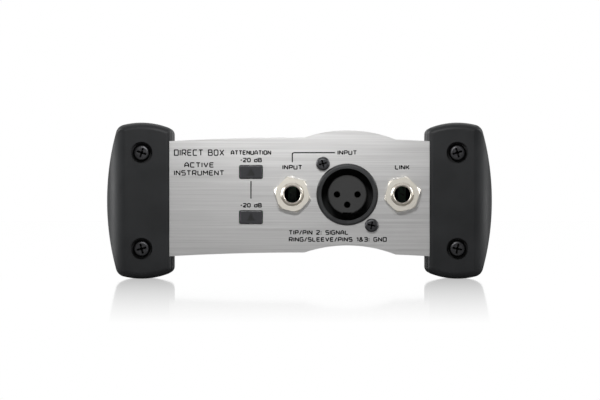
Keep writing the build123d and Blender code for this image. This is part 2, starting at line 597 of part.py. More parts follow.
def make_input_socket():
    """The female socket: a shell, an insert that stands in it, and three spring contacts."""
    back = FRONT_Y + XLR_BODY_DEPTH
    board = FRONT_Y + BOARD_SETBACK
    base_front = back - XLR_BASE_LENGTH
    insert = rod(XLR_INSERT_DIAMETER, XLR_X, SOCKET_Z, FRONT_Y, back)
    insert = chamfer(insert.faces().sort_by(Axis.Y)[0].edges(), XLR_TIP_CHAMFER)
    insert += rod(XLR_BARREL_BORE - FIT_GAP, XLR_X, SOCKET_Z, base_front, back)
    key_z = SOCKET_Z - XLR_INSERT_DIAMETER / 2
    key_x = (XLR_X - XLR_KEY_WIDTH / 2, XLR_X + XLR_KEY_WIDTH / 2)
    insert -= block(key_x, (FRONT_Y, base_front), (key_z, key_z + XLR_KEY_DEPTH))
    contacts = []
    contact_diameter = XLR_PIN_DIAMETER + 2 * CONTACT_WALL
    contact_front = FRONT_Y + CONTACT_SETBACK
    for x, z in pin_places():
        insert -= rod(XLR_PIN_DIAMETER + 2 * FIT_GAP, x, z, FRONT_Y, contact_front)
        insert -= rod(contact_diameter + FIT_GAP, x, z, contact_front, back)
        sleeve = rod(contact_diameter, x, z, contact_front, back)
        sleeve -= rod(XLR_PIN_DIAMETER, x, z, contact_front, back - CONTACT_FLOOR)
        contacts.append(sleeve + rod(TAIL_DIAMETER, x, z, back, board))
    return {
        "xlr_input_shell": socket_shell(XLR_BARREL_BORE, back, 1),
        "xlr_input_insert": insert,
        "xlr_input_contacts": Compound(children=contacts),
    }


def make_output_socket():
    """The male socket: a shell with a plain cup, an insert at its bottom and three solid pins."""
    back = FRONT_Y + XLR_BODY_DEPTH
    board = FRONT_Y + BOARD_SETBACK
    cup_floor = FRONT_Y + XLR_CUP_DEPTH
    insert = rod(XLR_CUP_BORE - FIT_GAP, XLR_X, SOCKET_Z, cup_floor, back)
    pins = []
    for x, z in pin_places():
        insert -= rod(XLR_PIN_DIAMETER + FIT_GAP, x, z, cup_floor, back)
        pin = rod(XLR_PIN_DIAMETER, x, z, FRONT_Y + PIN_SETBACK, back)
        pin = fillet(pin.faces().sort_by(Axis.Y)[0].edges(), XLR_PIN_DIAMETER * PIN_TIP_SHARE)
        pins.append(pin + rod(TAIL_DIAMETER, x, z, back, board))
    return {
        "xlr_output_shell": to_rear(socket_shell(XLR_CUP_BORE, back, -1)),
        "xlr_output_insert": to_rear(insert),
        "xlr_output_pins": Compound(children=[to_rear(pin) for pin in pins]),
    }


def make_socket_screws():
    """The four screws that fix the two microphone sockets to their panels."""
    sizes = (SOCKET_SCREW_DIAMETER, SOCKET_SCREW_HEAD, SOCKET_SCREW_HEAD_HEIGHT, SOCKET_SCREW_LENGTH)
    screws = []
    for handed, turns in ((1, INPUT_SCREW_TURNS), (-1, OUTPUT_SCREW_TURNS)):
        for (x, z), turn in zip(socket_screw_places(handed), turns):
            screw = pan_screw(*sizes, x, z, FRONT_Y, turn)
            screws.append(screw if handed == 1 else to_rear(screw))
    return {"xlr_screws": Compound(children=screws)}


# --- push switches -------------------------------------------------------------------------------------
def make_switch(name, x, z):
    """One latching push switch behind a front panel: body, plunger, return spring and button cap."""
    board = FRONT_Y + BOARD_SETBACK
    body_front = board - SWITCH_BODY_LENGTH
    cap_front = FRONT_Y - BUTTON_PROUD
    cap_back = cap_front + BUTTON_LENGTH
    cap = bar(BUTTON_WIDTH, BUTTON_HEIGHT, x, z, cap_front, cap_back, BUTTON_ROUND)
    cap = fillet(cap.faces().sort_by(Axis.Y)[0].edges(), BUTTON_FACE_ROUND)
    half_width, half_height = ARROW_WIDTH / 2, ARROW_HEIGHT / 2
    arrow = Polygon((-half_width, -half_height), (half_width, -half_height), (0, half_height), align=None)
    cap -= slab(Pos(x, z) * arrow, cap_front, cap_front + ARROW_DEPTH)
    socket = PLUNGER_WIDTH + FIT_GAP
    plunger_front = cap_back - BUTTON_SOCKET_DEPTH
    cap -= bar(socket, socket, x, z, plunger_front, cap_back)
    channel_end = board - SWITCH_FLOOR
    plunger_end = channel_end - SWITCH_END_ROOM - BUTTON_TRAVEL
    plunger = bar(PLUNGER_WIDTH, PLUNGER_WIDTH, x, z, plunger_front, plunger_end)
    body = bar(SWITCH_BODY_WIDTH, SWITCH_BODY_WIDTH, x, z, body_front, board, SWITCH_BODY_ROUND)
    channel = PLUNGER_WIDTH + 4 * FIT_GAP
    body -= bar(channel, channel, x, z, body_front, channel_end)
    height = body_front - cap_back - 2 * SPRING_SEAT_GAP - SPRING_WIRE
    radius = (SPRING_DIAMETER - SPRING_WIRE) / 2
    helix = Helix(pitch=height / SPRING_TURNS, height=height, radius=radius)
    wire = sweep(Plane(origin=helix @ 0, z_dir=helix % 0) * Circle(SPRING_WIRE / 2), path=helix)
    spring = Pos(x, cap_back + SPRING_SEAT_GAP + SPRING_WIRE / 2, z) * Rot(-90, 0, 0) * wire
    return {
        f"{name}_button": cap,
        f"{name}_plunger": plunger,
        f"{name}_switch_body": body,
        f"{name}_spring": spring,
    }


def make_switches():
    """The two attenuator switches at the front, and the ground lift and power switches at the rear."""
    nodes = {}
    nodes.update(make_switch("upper_pad", PAD_BUTTON_X, SOCKET_Z + PAD_BUTTON_RISE))
    nodes.update(make_switch("lower_pad", PAD_BUTTON_X, SOCKET_Z - PAD_BUTTON_RISE))
    for name, x in (("ground_lift", GROUND_BUTTON_X), ("power", POWER_BUTTON_X)):
        nodes.update({node: to_rear(shape) for node, shape in make_switch(name, x, SOCKET_Z).items()})
    return nodes


# --- lamp ----------------------------------------------------------------------------------------------
def make_lamp():
    """The power lamp: a domed lens through the output panel on a spacer that stands on the rear board."""
    x, z = POWER_BUTTON_X, SOCKET_Z + LAMP_RISE
    inner = FRONT_Y + PANEL_THICKNESS
    seat, board = inner + LAMP_FLANGE, FRONT_Y + BOARD_SETBACK
    radius = LAMP_DIAMETER / 2
    dome_y = FRONT_Y - LAMP_PROUD + radius
    lens = rod(LAMP_DIAMETER, x, z, dome_y, seat) + Pos(x, dome_y, z) * Sphere(radius)
    lens += rod(LAMP_DIAMETER + 2 * LAMP_RIM, x, z, inner, seat)
    spacer = rod(LAMP_DIAMETER + 2 * LAMP_SPACER_WALL, x, z, seat, board)
    leads = []
    for side in (-1, 1):
        lead_x = x + side * HEADER_PITCH / 2
        spacer -= rod(LAMP_LEAD + 2 * LEAD_HOLE_GAP, lead_x, z, seat, board)
        leads.append(rod(LAMP_LEAD, lead_x, z, seat, board))
    return {
        "power_lamp": to_rear(lens),
        "lamp_spacer": to_rear(spacer),
        "lamp_leads": Compound(children=[to_rear(lead) for lead in leads]),
    }


# --- boards --------------------------------------------------------------------------------------------
def upright_board(low_x, high_x):
    """A circuit board behind the input panel that fills the housing's height between two x."""
    inside = wave_outline(HOUSING_HALF, HOUSING_WALL + UPRIGHT_BOARD_MARGIN)
    face = FRONT_Y + BOARD_SETBACK
    return slab(between_x(inside, low_x, high_x), face, face + BOARD_THICKNESS)


def make_boards():
    """The main board in the housing's guides and the upright board behind each panel."""
    half = INNER_HALF - BOARD_GAP
    span = (MID_Y - BOARD_HALF_SPAN, MID_Y + BOARD_HALF_SPAN)
    main = block((-half, half), span, (MAIN_BOARD_Z, MAIN_BOARD_TOP))
    left = PAD_BUTTON_X - SWITCH_BODY_WIDTH
    right = jack_places()[1] + JACK_BODY_WIDTH / 2 + BOARD_MARGIN
    rear_left = POWER_BUTTON_X - SWITCH_BODY_WIDTH
    rear_right = XLR_X + XLR_FLANGE_WIDTH / 2 + BOARD_MARGIN
    return {
        "main_board": main,
        "front_board": upright_board(left, right),
        "rear_board": to_rear(upright_board(rear_left, rear_right)),
    }


def make_headers():
    """Right-angle pin headers that join each upright board to the main board."""
    strips, pins = [], []
    board_back = FRONT_Y + BOARD_SETBACK + BOARD_THICKNESS
    strip_front = board_back + HEADER_SETBACK
    strip_y = (strip_front, strip_front + HEADER_PITCH)
    strip_z = (MAIN_BOARD_TOP, MAIN_BOARD_TOP + HEADER_PITCH)
    half = HEADER_PINS * HEADER_PITCH / 2
    strip = block((-half, half), strip_y, strip_z)
    level = MAIN_BOARD_TOP + HEADER_PITCH / 2
    for count in range(HEADER_PINS):
        x = -half + (count + 0.5) * HEADER_PITCH
        strip -= bar(HEADER_PIN + FIT_GAP, HEADER_PIN + FIT_GAP, x, level, *strip_y)
        pins.append(bar(HEADER_PIN, HEADER_PIN, x, level, board_back, strip_y[1]))
    strips = [strip, to_rear(strip)]
    return {
        "header_strips": Compound(children=strips),
        "header_pins": Compound(children=pins + [to_rear(pin) for pin in pins]),
    }


def make_transformer():
    """The output transformer: a laminated core round a bobbin and its winding, under a steel strap."""
    x, y = XLR_X + TRANSFORMER_SHIFT, MID_Y
    low = MAIN_BOARD_TOP
    window_x = CORE_LENGTH / 2 - CORE_LEG
    window_z = (low + CORE_LEG, low + CORE_HEIGHT - CORE_LEG)
    deep = (y - CORE_DEPTH / 2, y + CORE_DEPTH / 2)
    core = block((x - CORE_LENGTH / 2, x + CORE_LENGTH / 2), deep, (low, low + CORE_HEIGHT))
    for side in (-1, 1):
        window = sorted((x + side * CORE_LEG, x + side * window_x))
        core -= block(window, deep, window_z)
    leg = CORE_LEG + FIT_GAP
    depth = CORE_DEPTH / 2 + FIT_GAP
    tall = (window_z[0] + FIT_GAP, window_z[1] - FIT_GAP)
    wound = window_x - FIT_GAP
    coil_depth = CORE_DEPTH / 2 + wound - leg

    def ring(inner_x, inner_y, outer_x, outer_y, z):
        """A rectangular ring round the centre leg."""
        hole = block((x - inner_x, x + inner_x), (y - inner_y, y + inner_y), z)
        return block((x - outer_x, x + outer_x), (y - outer_y, y + outer_y), z) - hole

    bobbin = ring(leg, depth, leg + BOBBIN_WALL, depth + BOBBIN_WALL, tall)
    for z in ((tall[0], tall[0] + BOBBIN_WALL), (tall[1] - BOBBIN_WALL, tall[1])):
        bobbin += ring(leg, depth, wound, coil_depth, z)
    gap = BOBBIN_WALL + FIT_GAP
    coil_x, coil_y = wound - WINDING_MARGIN, coil_depth - WINDING_MARGIN
    coil = ring(leg + gap, depth + gap, coil_x, coil_y, (tall[0] + gap, tall[1] - gap))
    strap_half, strap_top = CORE_LENGTH / 2 + FIT_GAP, low + CORE_HEIGHT + FIT_GAP
    strap_y = (y - STRAP_WIDTH / 2, y + STRAP_WIDTH / 2)
    outer = strap_half + STRAP_THICKNESS
    strap = block((x - outer, x + outer), strap_y, (low, strap_top + STRAP_THICKNESS))
    strap -= block((x - strap_half, x + strap_half), strap_y, (low, strap_top))
    for side in (-1, 1):
        foot = sorted((x + side * outer, x + side * (outer + STRAP_FOOT)))
        strap += block(foot, strap_y, (low, low + STRAP_THICKNESS))
    return {
        "transformer_core": core,
        "transformer_bobbin": bobbin,
        "transformer_winding": coil,
        "transformer_strap": strap,
    }


def make_components():
    """Electrolytic capacitors, amplifier chips and resistors on the main board."""
    low = MAIN_BOARD_TOP
    capacitors, chips, resistors = [], [], []
    for column in range(CAPACITOR_COLUMNS):
        for side in (-1, 1):
            x, y = FIRST_CAPACITOR_X + column * CAPACITOR_PITCH, MID_Y + side * CAPACITOR_ROW
            can = Cylinder(CAPACITOR_DIAMETER / 2, CAPACITOR_HEIGHT)
            capacitors.append(Pos(x, y, low + CAPACITOR_HEIGHT / 2) * can)
    for column in range(2):
        place = Pos(FIRST_CHIP_X + column * CHIP_PITCH, MID_Y, low + CHIP_STANDOFF + CHIP_HEIGHT / 2)
        chips.append(place * Box(CHIP_LENGTH, CHIP_WIDTH, CHIP_HEIGHT))
    resistor_y = MID_Y + BOARD_HALF_SPAN - RESISTOR_SETBACK
    resistor_z = low + RESISTOR_STANDOFF + RESISTOR_DIAMETER / 2
    for count in range(RESISTOR_COUNT):
        place = Pos(FIRST_RESISTOR_X + count * RESISTOR_PITCH, resistor_y, resistor_z)
        resistors.append(place * Rot(90, 0, 0) * Cylinder(RESISTOR_DIAMETER / 2, RESISTOR_LENGTH))
    return {
        "capacitors": Compound(children=capacitors),
        "amplifier_chips": Compound(children=chips),
        "resistors": Compound(children=resistors),
    }


# --- battery -------------------------------------------------------------------------------------------
def make_battery():
    """A nine-volt block battery in its tray, with a snap connector and two leads to the main board."""
    left = -INNER_HALF + GUIDE_DEPTH + BOARD_GAP + TRAY_WALL
    right = left + BATTERY_WIDTH
    low = MAIN_BOARD_TOP + TRAY_WALL
    start = MID_Y - BATTERY_LENGTH / 2 + BATTERY_SHIFT
    end = start + BATTERY_LENGTH
    middle_x, middle_z = (left + right) / 2, low + BATTERY_HEIGHT / 2
    battery = bar(BATTERY_WIDTH, BATTERY_HEIGHT, middle_x, middle_z, start, end, BATTERY_ROUND)
    snap_width, snap_height = BATTERY_WIDTH - 2 * SNAP_INSET, BATTERY_HEIGHT - 2 * SNAP_INSET
    snap_end = end + SNAP_THICKNESS
    snap = bar(snap_width, snap_height, middle_x, middle_z, end + FIT_GAP, snap_end, SNAP_ROUND)
    for side, diameter in zip((-1, 1), BATTERY_STUD_DIAMETERS):
        stud_x = middle_x + side * BATTERY_STUD_OFFSET
        battery += rod(diameter, stud_x, middle_z, end, end + BATTERY_STUD)
        snap -= rod(diameter + 2 * FIT_GAP, stud_x, middle_z, end, end + BATTERY_STUD + FIT_GAP)
    outer = (left - FIT_GAP - TRAY_WALL, right + FIT_GAP + TRAY_WALL)
    tray_y = (start - FIT_GAP - TRAY_WALL, end - TRAY_OPEN_END)
    tray = block(outer, tray_y, (MAIN_BOARD_TOP, low + TRAY_DEPTH))
    inside = (outer[0] + TRAY_WALL, outer[1] - TRAY_WALL)
    tray -= block(inside, (tray_y[0] + TRAY_WALL, tray_y[1]), (low, low + TRAY_DEPTH))
    nodes = {"battery": battery, "battery_tray": tray, "battery_snap": snap}
    for name, side, reach in zip(("red", "black"), (1, -1), LEAD_REACHES):
        rise = side * LEAD_RISE
        leave_y = (end + snap_end) / 2 + side * LEAD_DIAMETER / 2
        leave = (middle_x + snap_width / 2, leave_y, middle_z + rise)
        route = [
            leave,
            (right + reach, leave[1], leave[2]),
            (right + reach, leave[1], MAIN_BOARD_TOP),
        ]
        path = FilletPolyline(*route, radius=LEAD_BEND)
        section = Plane(origin=path @ 0, z_dir=path % 0) * Circle(LEAD_DIAMETER / 2)
        nodes[f"battery_lead_{name}"] = sweep(section, path=path)
    return nodes


def main():
    """Builds every node and writes one STEP file for each."""
    nodes = {}
    nodes.update(make_housing())
    nodes.update(make_panels())
    nodes.update(make_corners())
    nodes.update(make_corner_screws())
    for name, x in zip(("input", "link"), jack_places()):
        nodes.update(make_jack(name, x))
    nodes.update(make_jack_hardware())
    nodes.update(make_input_socket())
    nodes.update(make_output_socket())
    nodes.update(make_socket_screws())
    nodes.update(make_switches())
    nodes.update(make_lamp())
    nodes.update(make_boards())
    nodes.update(make_headers())
    nodes.update(make_transformer())
    nodes.update(make_components())
    nodes.update(make_battery())
    os.makedirs("parts", exist_ok=True)
    for name, shape in nodes.items():
        export_step(shape, f"parts/{name}.step")


main()
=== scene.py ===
"""Direct injection box: finishes, printing, threads and small parts round the fixed CAD frame, in metres.

+X is to the right as the input panel is looked at, -Y is out of the input panel and +Z is up.
"""

import logging
import math
from dataclasses import dataclass, field
from enum import Enum
from typing import Callable

import bpy
import numpy as np
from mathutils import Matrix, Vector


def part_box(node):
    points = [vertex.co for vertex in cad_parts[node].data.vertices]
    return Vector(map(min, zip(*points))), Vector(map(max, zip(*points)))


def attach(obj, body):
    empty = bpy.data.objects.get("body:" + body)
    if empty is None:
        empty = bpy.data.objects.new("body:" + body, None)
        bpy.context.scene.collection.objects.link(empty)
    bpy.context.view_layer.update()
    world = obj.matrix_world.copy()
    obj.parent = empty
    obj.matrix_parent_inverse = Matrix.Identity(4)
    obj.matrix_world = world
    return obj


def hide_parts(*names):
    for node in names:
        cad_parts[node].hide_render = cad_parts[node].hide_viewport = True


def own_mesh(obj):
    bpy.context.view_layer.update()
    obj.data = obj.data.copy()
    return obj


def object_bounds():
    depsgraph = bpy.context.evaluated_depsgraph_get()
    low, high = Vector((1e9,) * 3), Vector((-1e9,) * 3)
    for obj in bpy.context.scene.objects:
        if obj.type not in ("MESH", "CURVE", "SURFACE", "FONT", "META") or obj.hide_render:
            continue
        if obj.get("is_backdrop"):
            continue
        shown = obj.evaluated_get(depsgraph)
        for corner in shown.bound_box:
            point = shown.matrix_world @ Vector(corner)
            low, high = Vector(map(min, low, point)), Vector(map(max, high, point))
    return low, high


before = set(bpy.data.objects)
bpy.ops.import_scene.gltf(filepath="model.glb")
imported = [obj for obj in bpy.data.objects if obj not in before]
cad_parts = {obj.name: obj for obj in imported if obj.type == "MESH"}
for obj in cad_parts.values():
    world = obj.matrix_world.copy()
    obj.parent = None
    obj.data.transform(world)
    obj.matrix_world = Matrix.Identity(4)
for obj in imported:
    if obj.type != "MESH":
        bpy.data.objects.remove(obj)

LOG = logging.getLogger("direct_box")
MM = 0.001
BODY = "case"
Colour = tuple[float, float, float]
Point = tuple[float, float]
Place = tuple[float, float, float]
Piece = bpy.types.Object
Node = bpy.types.Node
Socket = bpy.types.NodeSocket
SAME_PLACE = 1e-9  # points of a path that are nearer than this are one
LEAST_COSINE = 0.5  # of half the sharpest turn that a strip's edges follow
FINE_SHARE = 0.45  # of a finish's colour change that comes from its fine pattern
BUMP_STRENGTH = 0.6
WEAR_GLOSS = 0.1  # roughness lost on a worn edge
DUST_ROUGHNESS = 0.25
DUST_COLOUR = (0.45, 0.43, 0.4)
# colour of the shade painted into hollows
DEEP_SHADE = (0.001, 0.001, 0.001)


# --- meshes ---
def signed_volume(points: np.ndarray, quads: np.ndarray) -> float:
    """Volume inside closed quads by the divergence theorem, negative if they face inwards.

    Args:
        points: Vertex positions, one row each.
        quads: Four vertex numbers per face.

    Returns:
        A sixth of the sum of corner triple products over both triangles of every quad.
    """
    a, b, c, d = (points[quads[:, i]] for i in range(4))
    first = np.einsum("ij,ij->i", a, np.cross(b, c))
    second = np.einsum("ij,ij->i", a, np.cross(c, d))
    return float(first.sum() + second.sum()) / 6


def loft_quads(rows: int, columns: int) -> np.ndarray:
    """Quads between neighbouring rows and columns of a grid that closes on itself both ways.

    Args:
        rows: Number of sections.
        columns: Number of points in each section.

    Returns:
        Four vertex numbers per face.
    """
    i, j = np.meshgrid(np.arange(rows), np.arange(columns), indexing="ij")
    i, j = i.ravel(), j.ravel()
    down, across = (i + 1) % rows, (j + 1) % columns
    return np.stack([i * columns + j, down * columns + j, down * columns + across, i * columns + across], 1)


def tube_quads(rows: int, columns: int) -> np.ndarray:
    """Quads of a tube of even-sided sections, with each end closed by a ladder of quads across it.

    Args:
        rows: Number of sections along the tube.
        columns: Number of points round each section, an even number.

    Returns:
        Four vertex numbers per face.
    """
    sides = loft_quads(rows, columns)[: (rows - 1) * columns]
    rung = np.arange(columns // 2 - 1)
    ladder = np.stack([rung, rung + 1, columns - 2 - rung, columns - 1 - rung], 1)
    return np.vstack([sides, ladder[:, ::-1], (rows - 1) * columns + ladder])


@dataclass
class MeshBuilder:
    """Collects closed shells and makes one piece of them."""

    points: list[np.ndarray] = field(default_factory=list)
    quads: list[np.ndarray] = field(default_factory=list)
    count: int = 0

    def add(self, points: np.ndarray, quads: np.ndarray) -> None:
        """Adds one closed shell, turned so that it faces outwards.

        Args:
            points: Vertex positions in metres.
            quads: Four vertex numbers per face.
        """
        if signed_volume(points - points.mean(0), quads) < 0:
            quads = quads[:, ::-1]
        self.points.append(points)
        self.quads.append(quads + self.count)
        self.count += len(points)

    def piece(
        self, name: str, finish: "Finish", slot: str, sharp_deg: float = 35.0, body: str = BODY,
        replaces: str = "",
    ) -> Piece:
        """Makes the piece.

        Args:
            name: The piece's name.
            finish: Its finish.
            slot: The record's material slot; not used.
            sharp_deg: Edges that turn by more than this stay sharp.
            body: The body that it rides on.
            replaces: The CAD node that it stands in for, if any.

        Returns:
            The finished object.
        """
        points, quads = np.vstack(self.points), np.vstack(self.quads)
        mesh = bpy.data.meshes.new(name)
        mesh.from_pydata(points.tolist(), [], quads.tolist())
        mesh.polygons.foreach_set("use_smooth", np.ones(len(quads), bool))
        mesh.set_sharp_from_angle(angle=math.radians(sharp_deg))
        mesh.materials.append(finish.material())
        mesh.update()
        piece = bpy.data.objects.new(name, mesh)
        bpy.context.scene.collection.objects.link(piece)
        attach(piece, body)
        if replaces:
            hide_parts(replaces)
        LOG.info("%s: %d faces", name, len(quads))
        return piece


def circle_steps(count: int) -> np.ndarray:
    """Even steps once round a circle, in radians."""
    return np.linspace(0, 2 * math.pi, count, endpoint=False)


def revolved(
    profile: np.ndarray, centre: Point, segments: int, ripple: np.ndarray | float = 0.0
) -> np.ndarray:
    """A closed profile turned round an axis along Y.

    A point of the profile at radius r and height y goes to (x0 + r cos t, y, z0 + r sin t), where the
    ripple has been added to r.

    Args:
        profile: Radius and y of each point of a closed outline.
        centre: The axis's x and z.
        segments: Number of steps round the axis.
        ripple: Change of radius for each profile point and each step.

    Returns:
        Vertex positions, one profile point's ring after another.
    """
    turn = circle_steps(segments)
    radius = profile[:, :1] + ripple
    x = centre[0] + radius * np.cos(turn)
    z = centre[1] + radius * np.sin(turn)
    y = np.repeat(profile[:, 1:], segments, 1)
    return np.stack([x, y, z], -1).reshape(-1, 3)


def rounded_path(points: list[Point] | np.ndarray, radius: float, steps: int = 4) -> np.ndarray:
    """A broken line with each inner corner replaced by a short parabola.

    Each corner P becomes (1-t)^2 A + 2t(1-t) P + t^2 B, where A and B are the points at the given distance
    from P on its two arms, or at the arm's middle if that is nearer.

    Args:
        points: The line's corners.
        radius: Distance from each corner at which its parabola starts and ends.
        steps: Number of pieces of each parabola.

    Returns:
        The points of the rounded line.
    """
    corners = np.array(points, float)
    t = np.linspace(0, 1, steps + 1)[:, None]
    parts = [corners[:1]]
    for before, here, after in zip(corners[:-2], corners[1:-1], corners[2:]):
        arm_a, arm_b = before - here, after - here
        long_a, long_b = np.linalg.norm(arm_a), np.linalg.norm(arm_b)
        start = here + arm_a / long_a * min(radius, long_a / 2)
        end = here + arm_b / long_b * min(radius, long_b / 2)
        parts.append((1 - t) ** 2 * start + 2 * t * (1 - t) * here + t**2 * end)
    parts.append(corners[-1:])
    path = np.vstack(parts)
    keep = np.ones(len(path), bool)
    keep[1:] = np.linalg.norm(np.diff(path, axis=0), axis=1) > SAME_PLACE
    return path[keep]


def ribbon(path: np.ndarray, width: float | np.ndarray, near: float, far: float) -> np.ndarray:
    """A flat strip that follows a path in X and Z, between two heights along Y.

    At each point the strip's two edges lie half its width to each side, across the mean of the two
    directions there, and further out at a bend by one over the cosine of half the turn.

    Args:
        path: The strip's middle line, x and z.
        width: The strip's width, or its width at each point.
        near: Y of its front.
        far: Y of its back.

    Returns:
        Four vertices for each point of the path.
    """
    step = np.diff(path, axis=0)
    step /= np.linalg.norm(step, axis=1, keepdims=True)
    before, after = np.vstack([step[:1], step]), np.vstack([step, step[-1:]])
    mean = before + after
    mean /= np.linalg.norm(mean, axis=1, keepdims=True)
    stretch = 1 / np.clip(np.einsum("ij,ij->i", mean, after), LEAST_COSINE, 1)
    across = np.stack([-mean[:, 1], mean[:, 0]], 1) * (stretch * width / 2)[:, None]
    left, right = path + across, path - across
    corners = [(left, near), (right, near), (right, far), (left, far)]
    rows = [np.stack([edge[:, 0], np.full(len(path), y), edge[:, 1]], 1) for edge, y in corners]
    return np.stack(rows, 1).reshape(-1, 3)


# --- materials ---
class Tree:
    """A node tree with short calls for adding and joining nodes."""

    def __init__(self, tree: bpy.types.NodeTree) -> None:
        """Wraps a node tree, emptied first."""
        self.tree = tree
        tree.nodes.clear()

    def add(self, kind: str, settings: dict | None = None, **sockets: object) -> Node:
        """Adds a node.

        Args:
            kind: The node's class, without its ShaderNode prefix.
            settings: The node's own properties.
            **sockets: Input name, with underscores for spaces, to a value or to an output socket. A name
                such as i0 means the input of that number.

        Returns:
            The new node.
        """
        node = self.tree.nodes.new("ShaderNode" + kind)
        for key, value in (settings or {}).items():
            setattr(node, key, value)
        for key, value in sockets.items():
            if key[0] == "i" and key[1:].isdigit():
                target = node.inputs[int(key[1:])]
            else:
                target = node.inputs[key.replace("_", " ")]
            if isinstance(value, Socket):
                self.tree.links.new(value, target)
            else:
                target.default_value = value
        return node

    def math(self, operation: str, a: object, b: object = 0.0, clamp: bool = False) -> Socket:
        """A math node's result."""
        return self.add("Math", {"operation": operation, "use_clamp": clamp}, i0=a, i1=b).outputs[0]

    def times(self, a: object, b: object, clamp: bool = False) -> Socket:
        """Two values multiplied."""
        return self.math("MULTIPLY", a, b, clamp)

    def span(self, value: object, low: float, high: float, to_low: float, to_high: float) -> Socket:
        """A value carried from one range to another and held to its ends."""
        sockets = {"Value": value, "From_Min": low, "From_Max": high, "To_Min": to_low, "To_Max": to_high}
        return self.add("MapRange", **sockets).outputs[0]

    def mix(self, factor: object, a: object, b: object, blend: str = "MIX") -> Socket:
        """Two colours mixed."""
        settings = {"data_type": "RGBA", "blend_type": blend}
        a, b = (c if isinstance(c, Socket) else (*c, 1.0) for c in (a, b))
        return self.add("Mix", settings, i0=factor, i6=a, i7=b).outputs[2]


def node_group(
    name: str, inputs: list[str], outputs: list[str], build: Callable
) -> bpy.types.NodeTree:
    """A shader node group with named number sockets.

    Args:
        name: The group's name.
        inputs: Input names.
        outputs: Output names.
        build: Function of the tree and the input node that returns a socket for each output.

    Returns:
        The group.
    """
    group = bpy.data.node_groups.new(name, "ShaderNodeTree")
    for key in inputs:
        group.interface.new_socket(key, in_out="INPUT", socket_type="NodeSocketFloat")
    for key in outputs:
        group.interface.new_socket(key, in_out="OUTPUT", socket_type="NodeSocketFloat")
    tree = Tree(group)
    entry = group.nodes.new("NodeGroupInput")
    leave = group.nodes.new("NodeGroupOutput")
    for key, socket in zip(outputs, build(tree, entry)):
        group.links.new(socket, leave.inputs[key])
    return group


def build_streaks(tree: Tree, entry: Node) -> list[Socket]:
    """Noise stretched along one direction, fine and coarse, by scaling each Object coordinate."""
    place = tree.add("TexCoord").outputs["Object"]
    scale = tree.add("CombineXYZ", X=entry.outputs[0], Y=entry.outputs[1], Z=entry.outputs[2]).outputs[0]
    fine = tree.add("VectorMath", {"operation": "MULTIPLY"}, i0=place, i1=scale).outputs[0]
    coarse = tree.add("VectorMath", {"operation": "MULTIPLY"}, i0=fine, i1=(0.5, 0.5, 0.3)).outputs[0]
    streak = tree.add("TexNoise", Vector=fine, Scale=1.0, Detail=4.0, Roughness=0.7).outputs[0]
    band = tree.add("TexNoise", Vector=coarse, Scale=1.0, Detail=1.0, Roughness=0.5).outputs[0]
    return [tree.span(streak, 0.25, 0.75, 0, 1), tree.span(band, 0.25, 0.75, 0, 1)]


def build_grain(tree: Tree, entry: Node) -> list[Socket]:
    """Fine pebbling from a cell pattern and noise, with a slow mottle, sized by the first input."""
    place = tree.add("TexCoord").outputs["Object"]
    rate = tree.math("DIVIDE", 1.0, entry.outputs[0])
    cells = tree.add("TexVoronoi", {"feature": "SMOOTH_F1"}, Vector=place, Scale=rate, Smoothness=0.6)
    noise = tree.add("TexNoise", Vector=place, Scale=rate, Detail=3.0, Roughness=0.6).outputs[0]
    slow = tree.add("TexNoise", Vector=place, Scale=tree.times(rate, 0.02), Detail=4.0).outputs[0]
    height = tree.math("ADD", tree.times(cells.outputs[0], 0.6), tree.times(noise, 0.4))
    return [height, tree.span(slow, 0.35, 0.65, 0, 1)]


def build_wear(tree: Tree, entry: Node) -> list[Socket]:
    """One minus the cosine between the true and the rounded normal, broken up by noise."""
    soft = tree.add("Bevel", {"samples": 4}, Radius=entry.outputs[0]).outputs[0]
    true = tree.add("NewGeometry").outputs["Normal"]
    dot = tree.add("VectorMath", {"operation": "DOT_PRODUCT"}, i0=soft, i1=true).outputs["Value"]
    edge = tree.times(tree.math("SUBTRACT", 1.0, dot), 5.0, True)
    place = tree.add("TexCoord").outputs["Object"]
    patch = tree.add("TexNoise", Vector=place, Scale=420.0, Detail=3.0).outputs[0]
    broken = tree.times(edge, tree.span(patch, 0.35, 0.6, 0.15, 1))
    return [tree.times(broken, entry.outputs[1], True)]


def build_dust(tree: Tree, entry: Node) -> list[Socket]:
    """Specks and a film that gather where the surface looks up."""
    up = tree.add("SeparateXYZ", Vector=tree.add("NewGeometry").outputs["Normal"]).outputs[2]
    place = tree.add("TexCoord").outputs["Object"]
    film = tree.add("TexNoise", Vector=place, Scale=60.0, Detail=5.0).outputs[0]
    speck = tree.add("TexNoise", Vector=place, Scale=1900.0, Detail=1.0).outputs[0]
    dots = tree.span(speck, 0.68, 0.76, 0, 1)
    both = tree.math("ADD", tree.times(film, 0.35), dots)
    lie = tree.span(up, 0.2, 1.0, 0.05, 1.0)
    return [tree.times(tree.times(both, lie), entry.outputs[0], True)]


def build_cavity_shade(tree: Tree, entry: Node) -> list[Socket]:
    """How open the surface is to its surroundings within a distance, from closed at 0 to open at 1, for
    painting shade into hollows.
    """
    shade = tree.add("AmbientOcclusion", {"samples": 8}, Distance=entry.outputs[0]).outputs["AO"]
    return [tree.span(shade, 0.35, 0.85, 0.0, 1.0)]


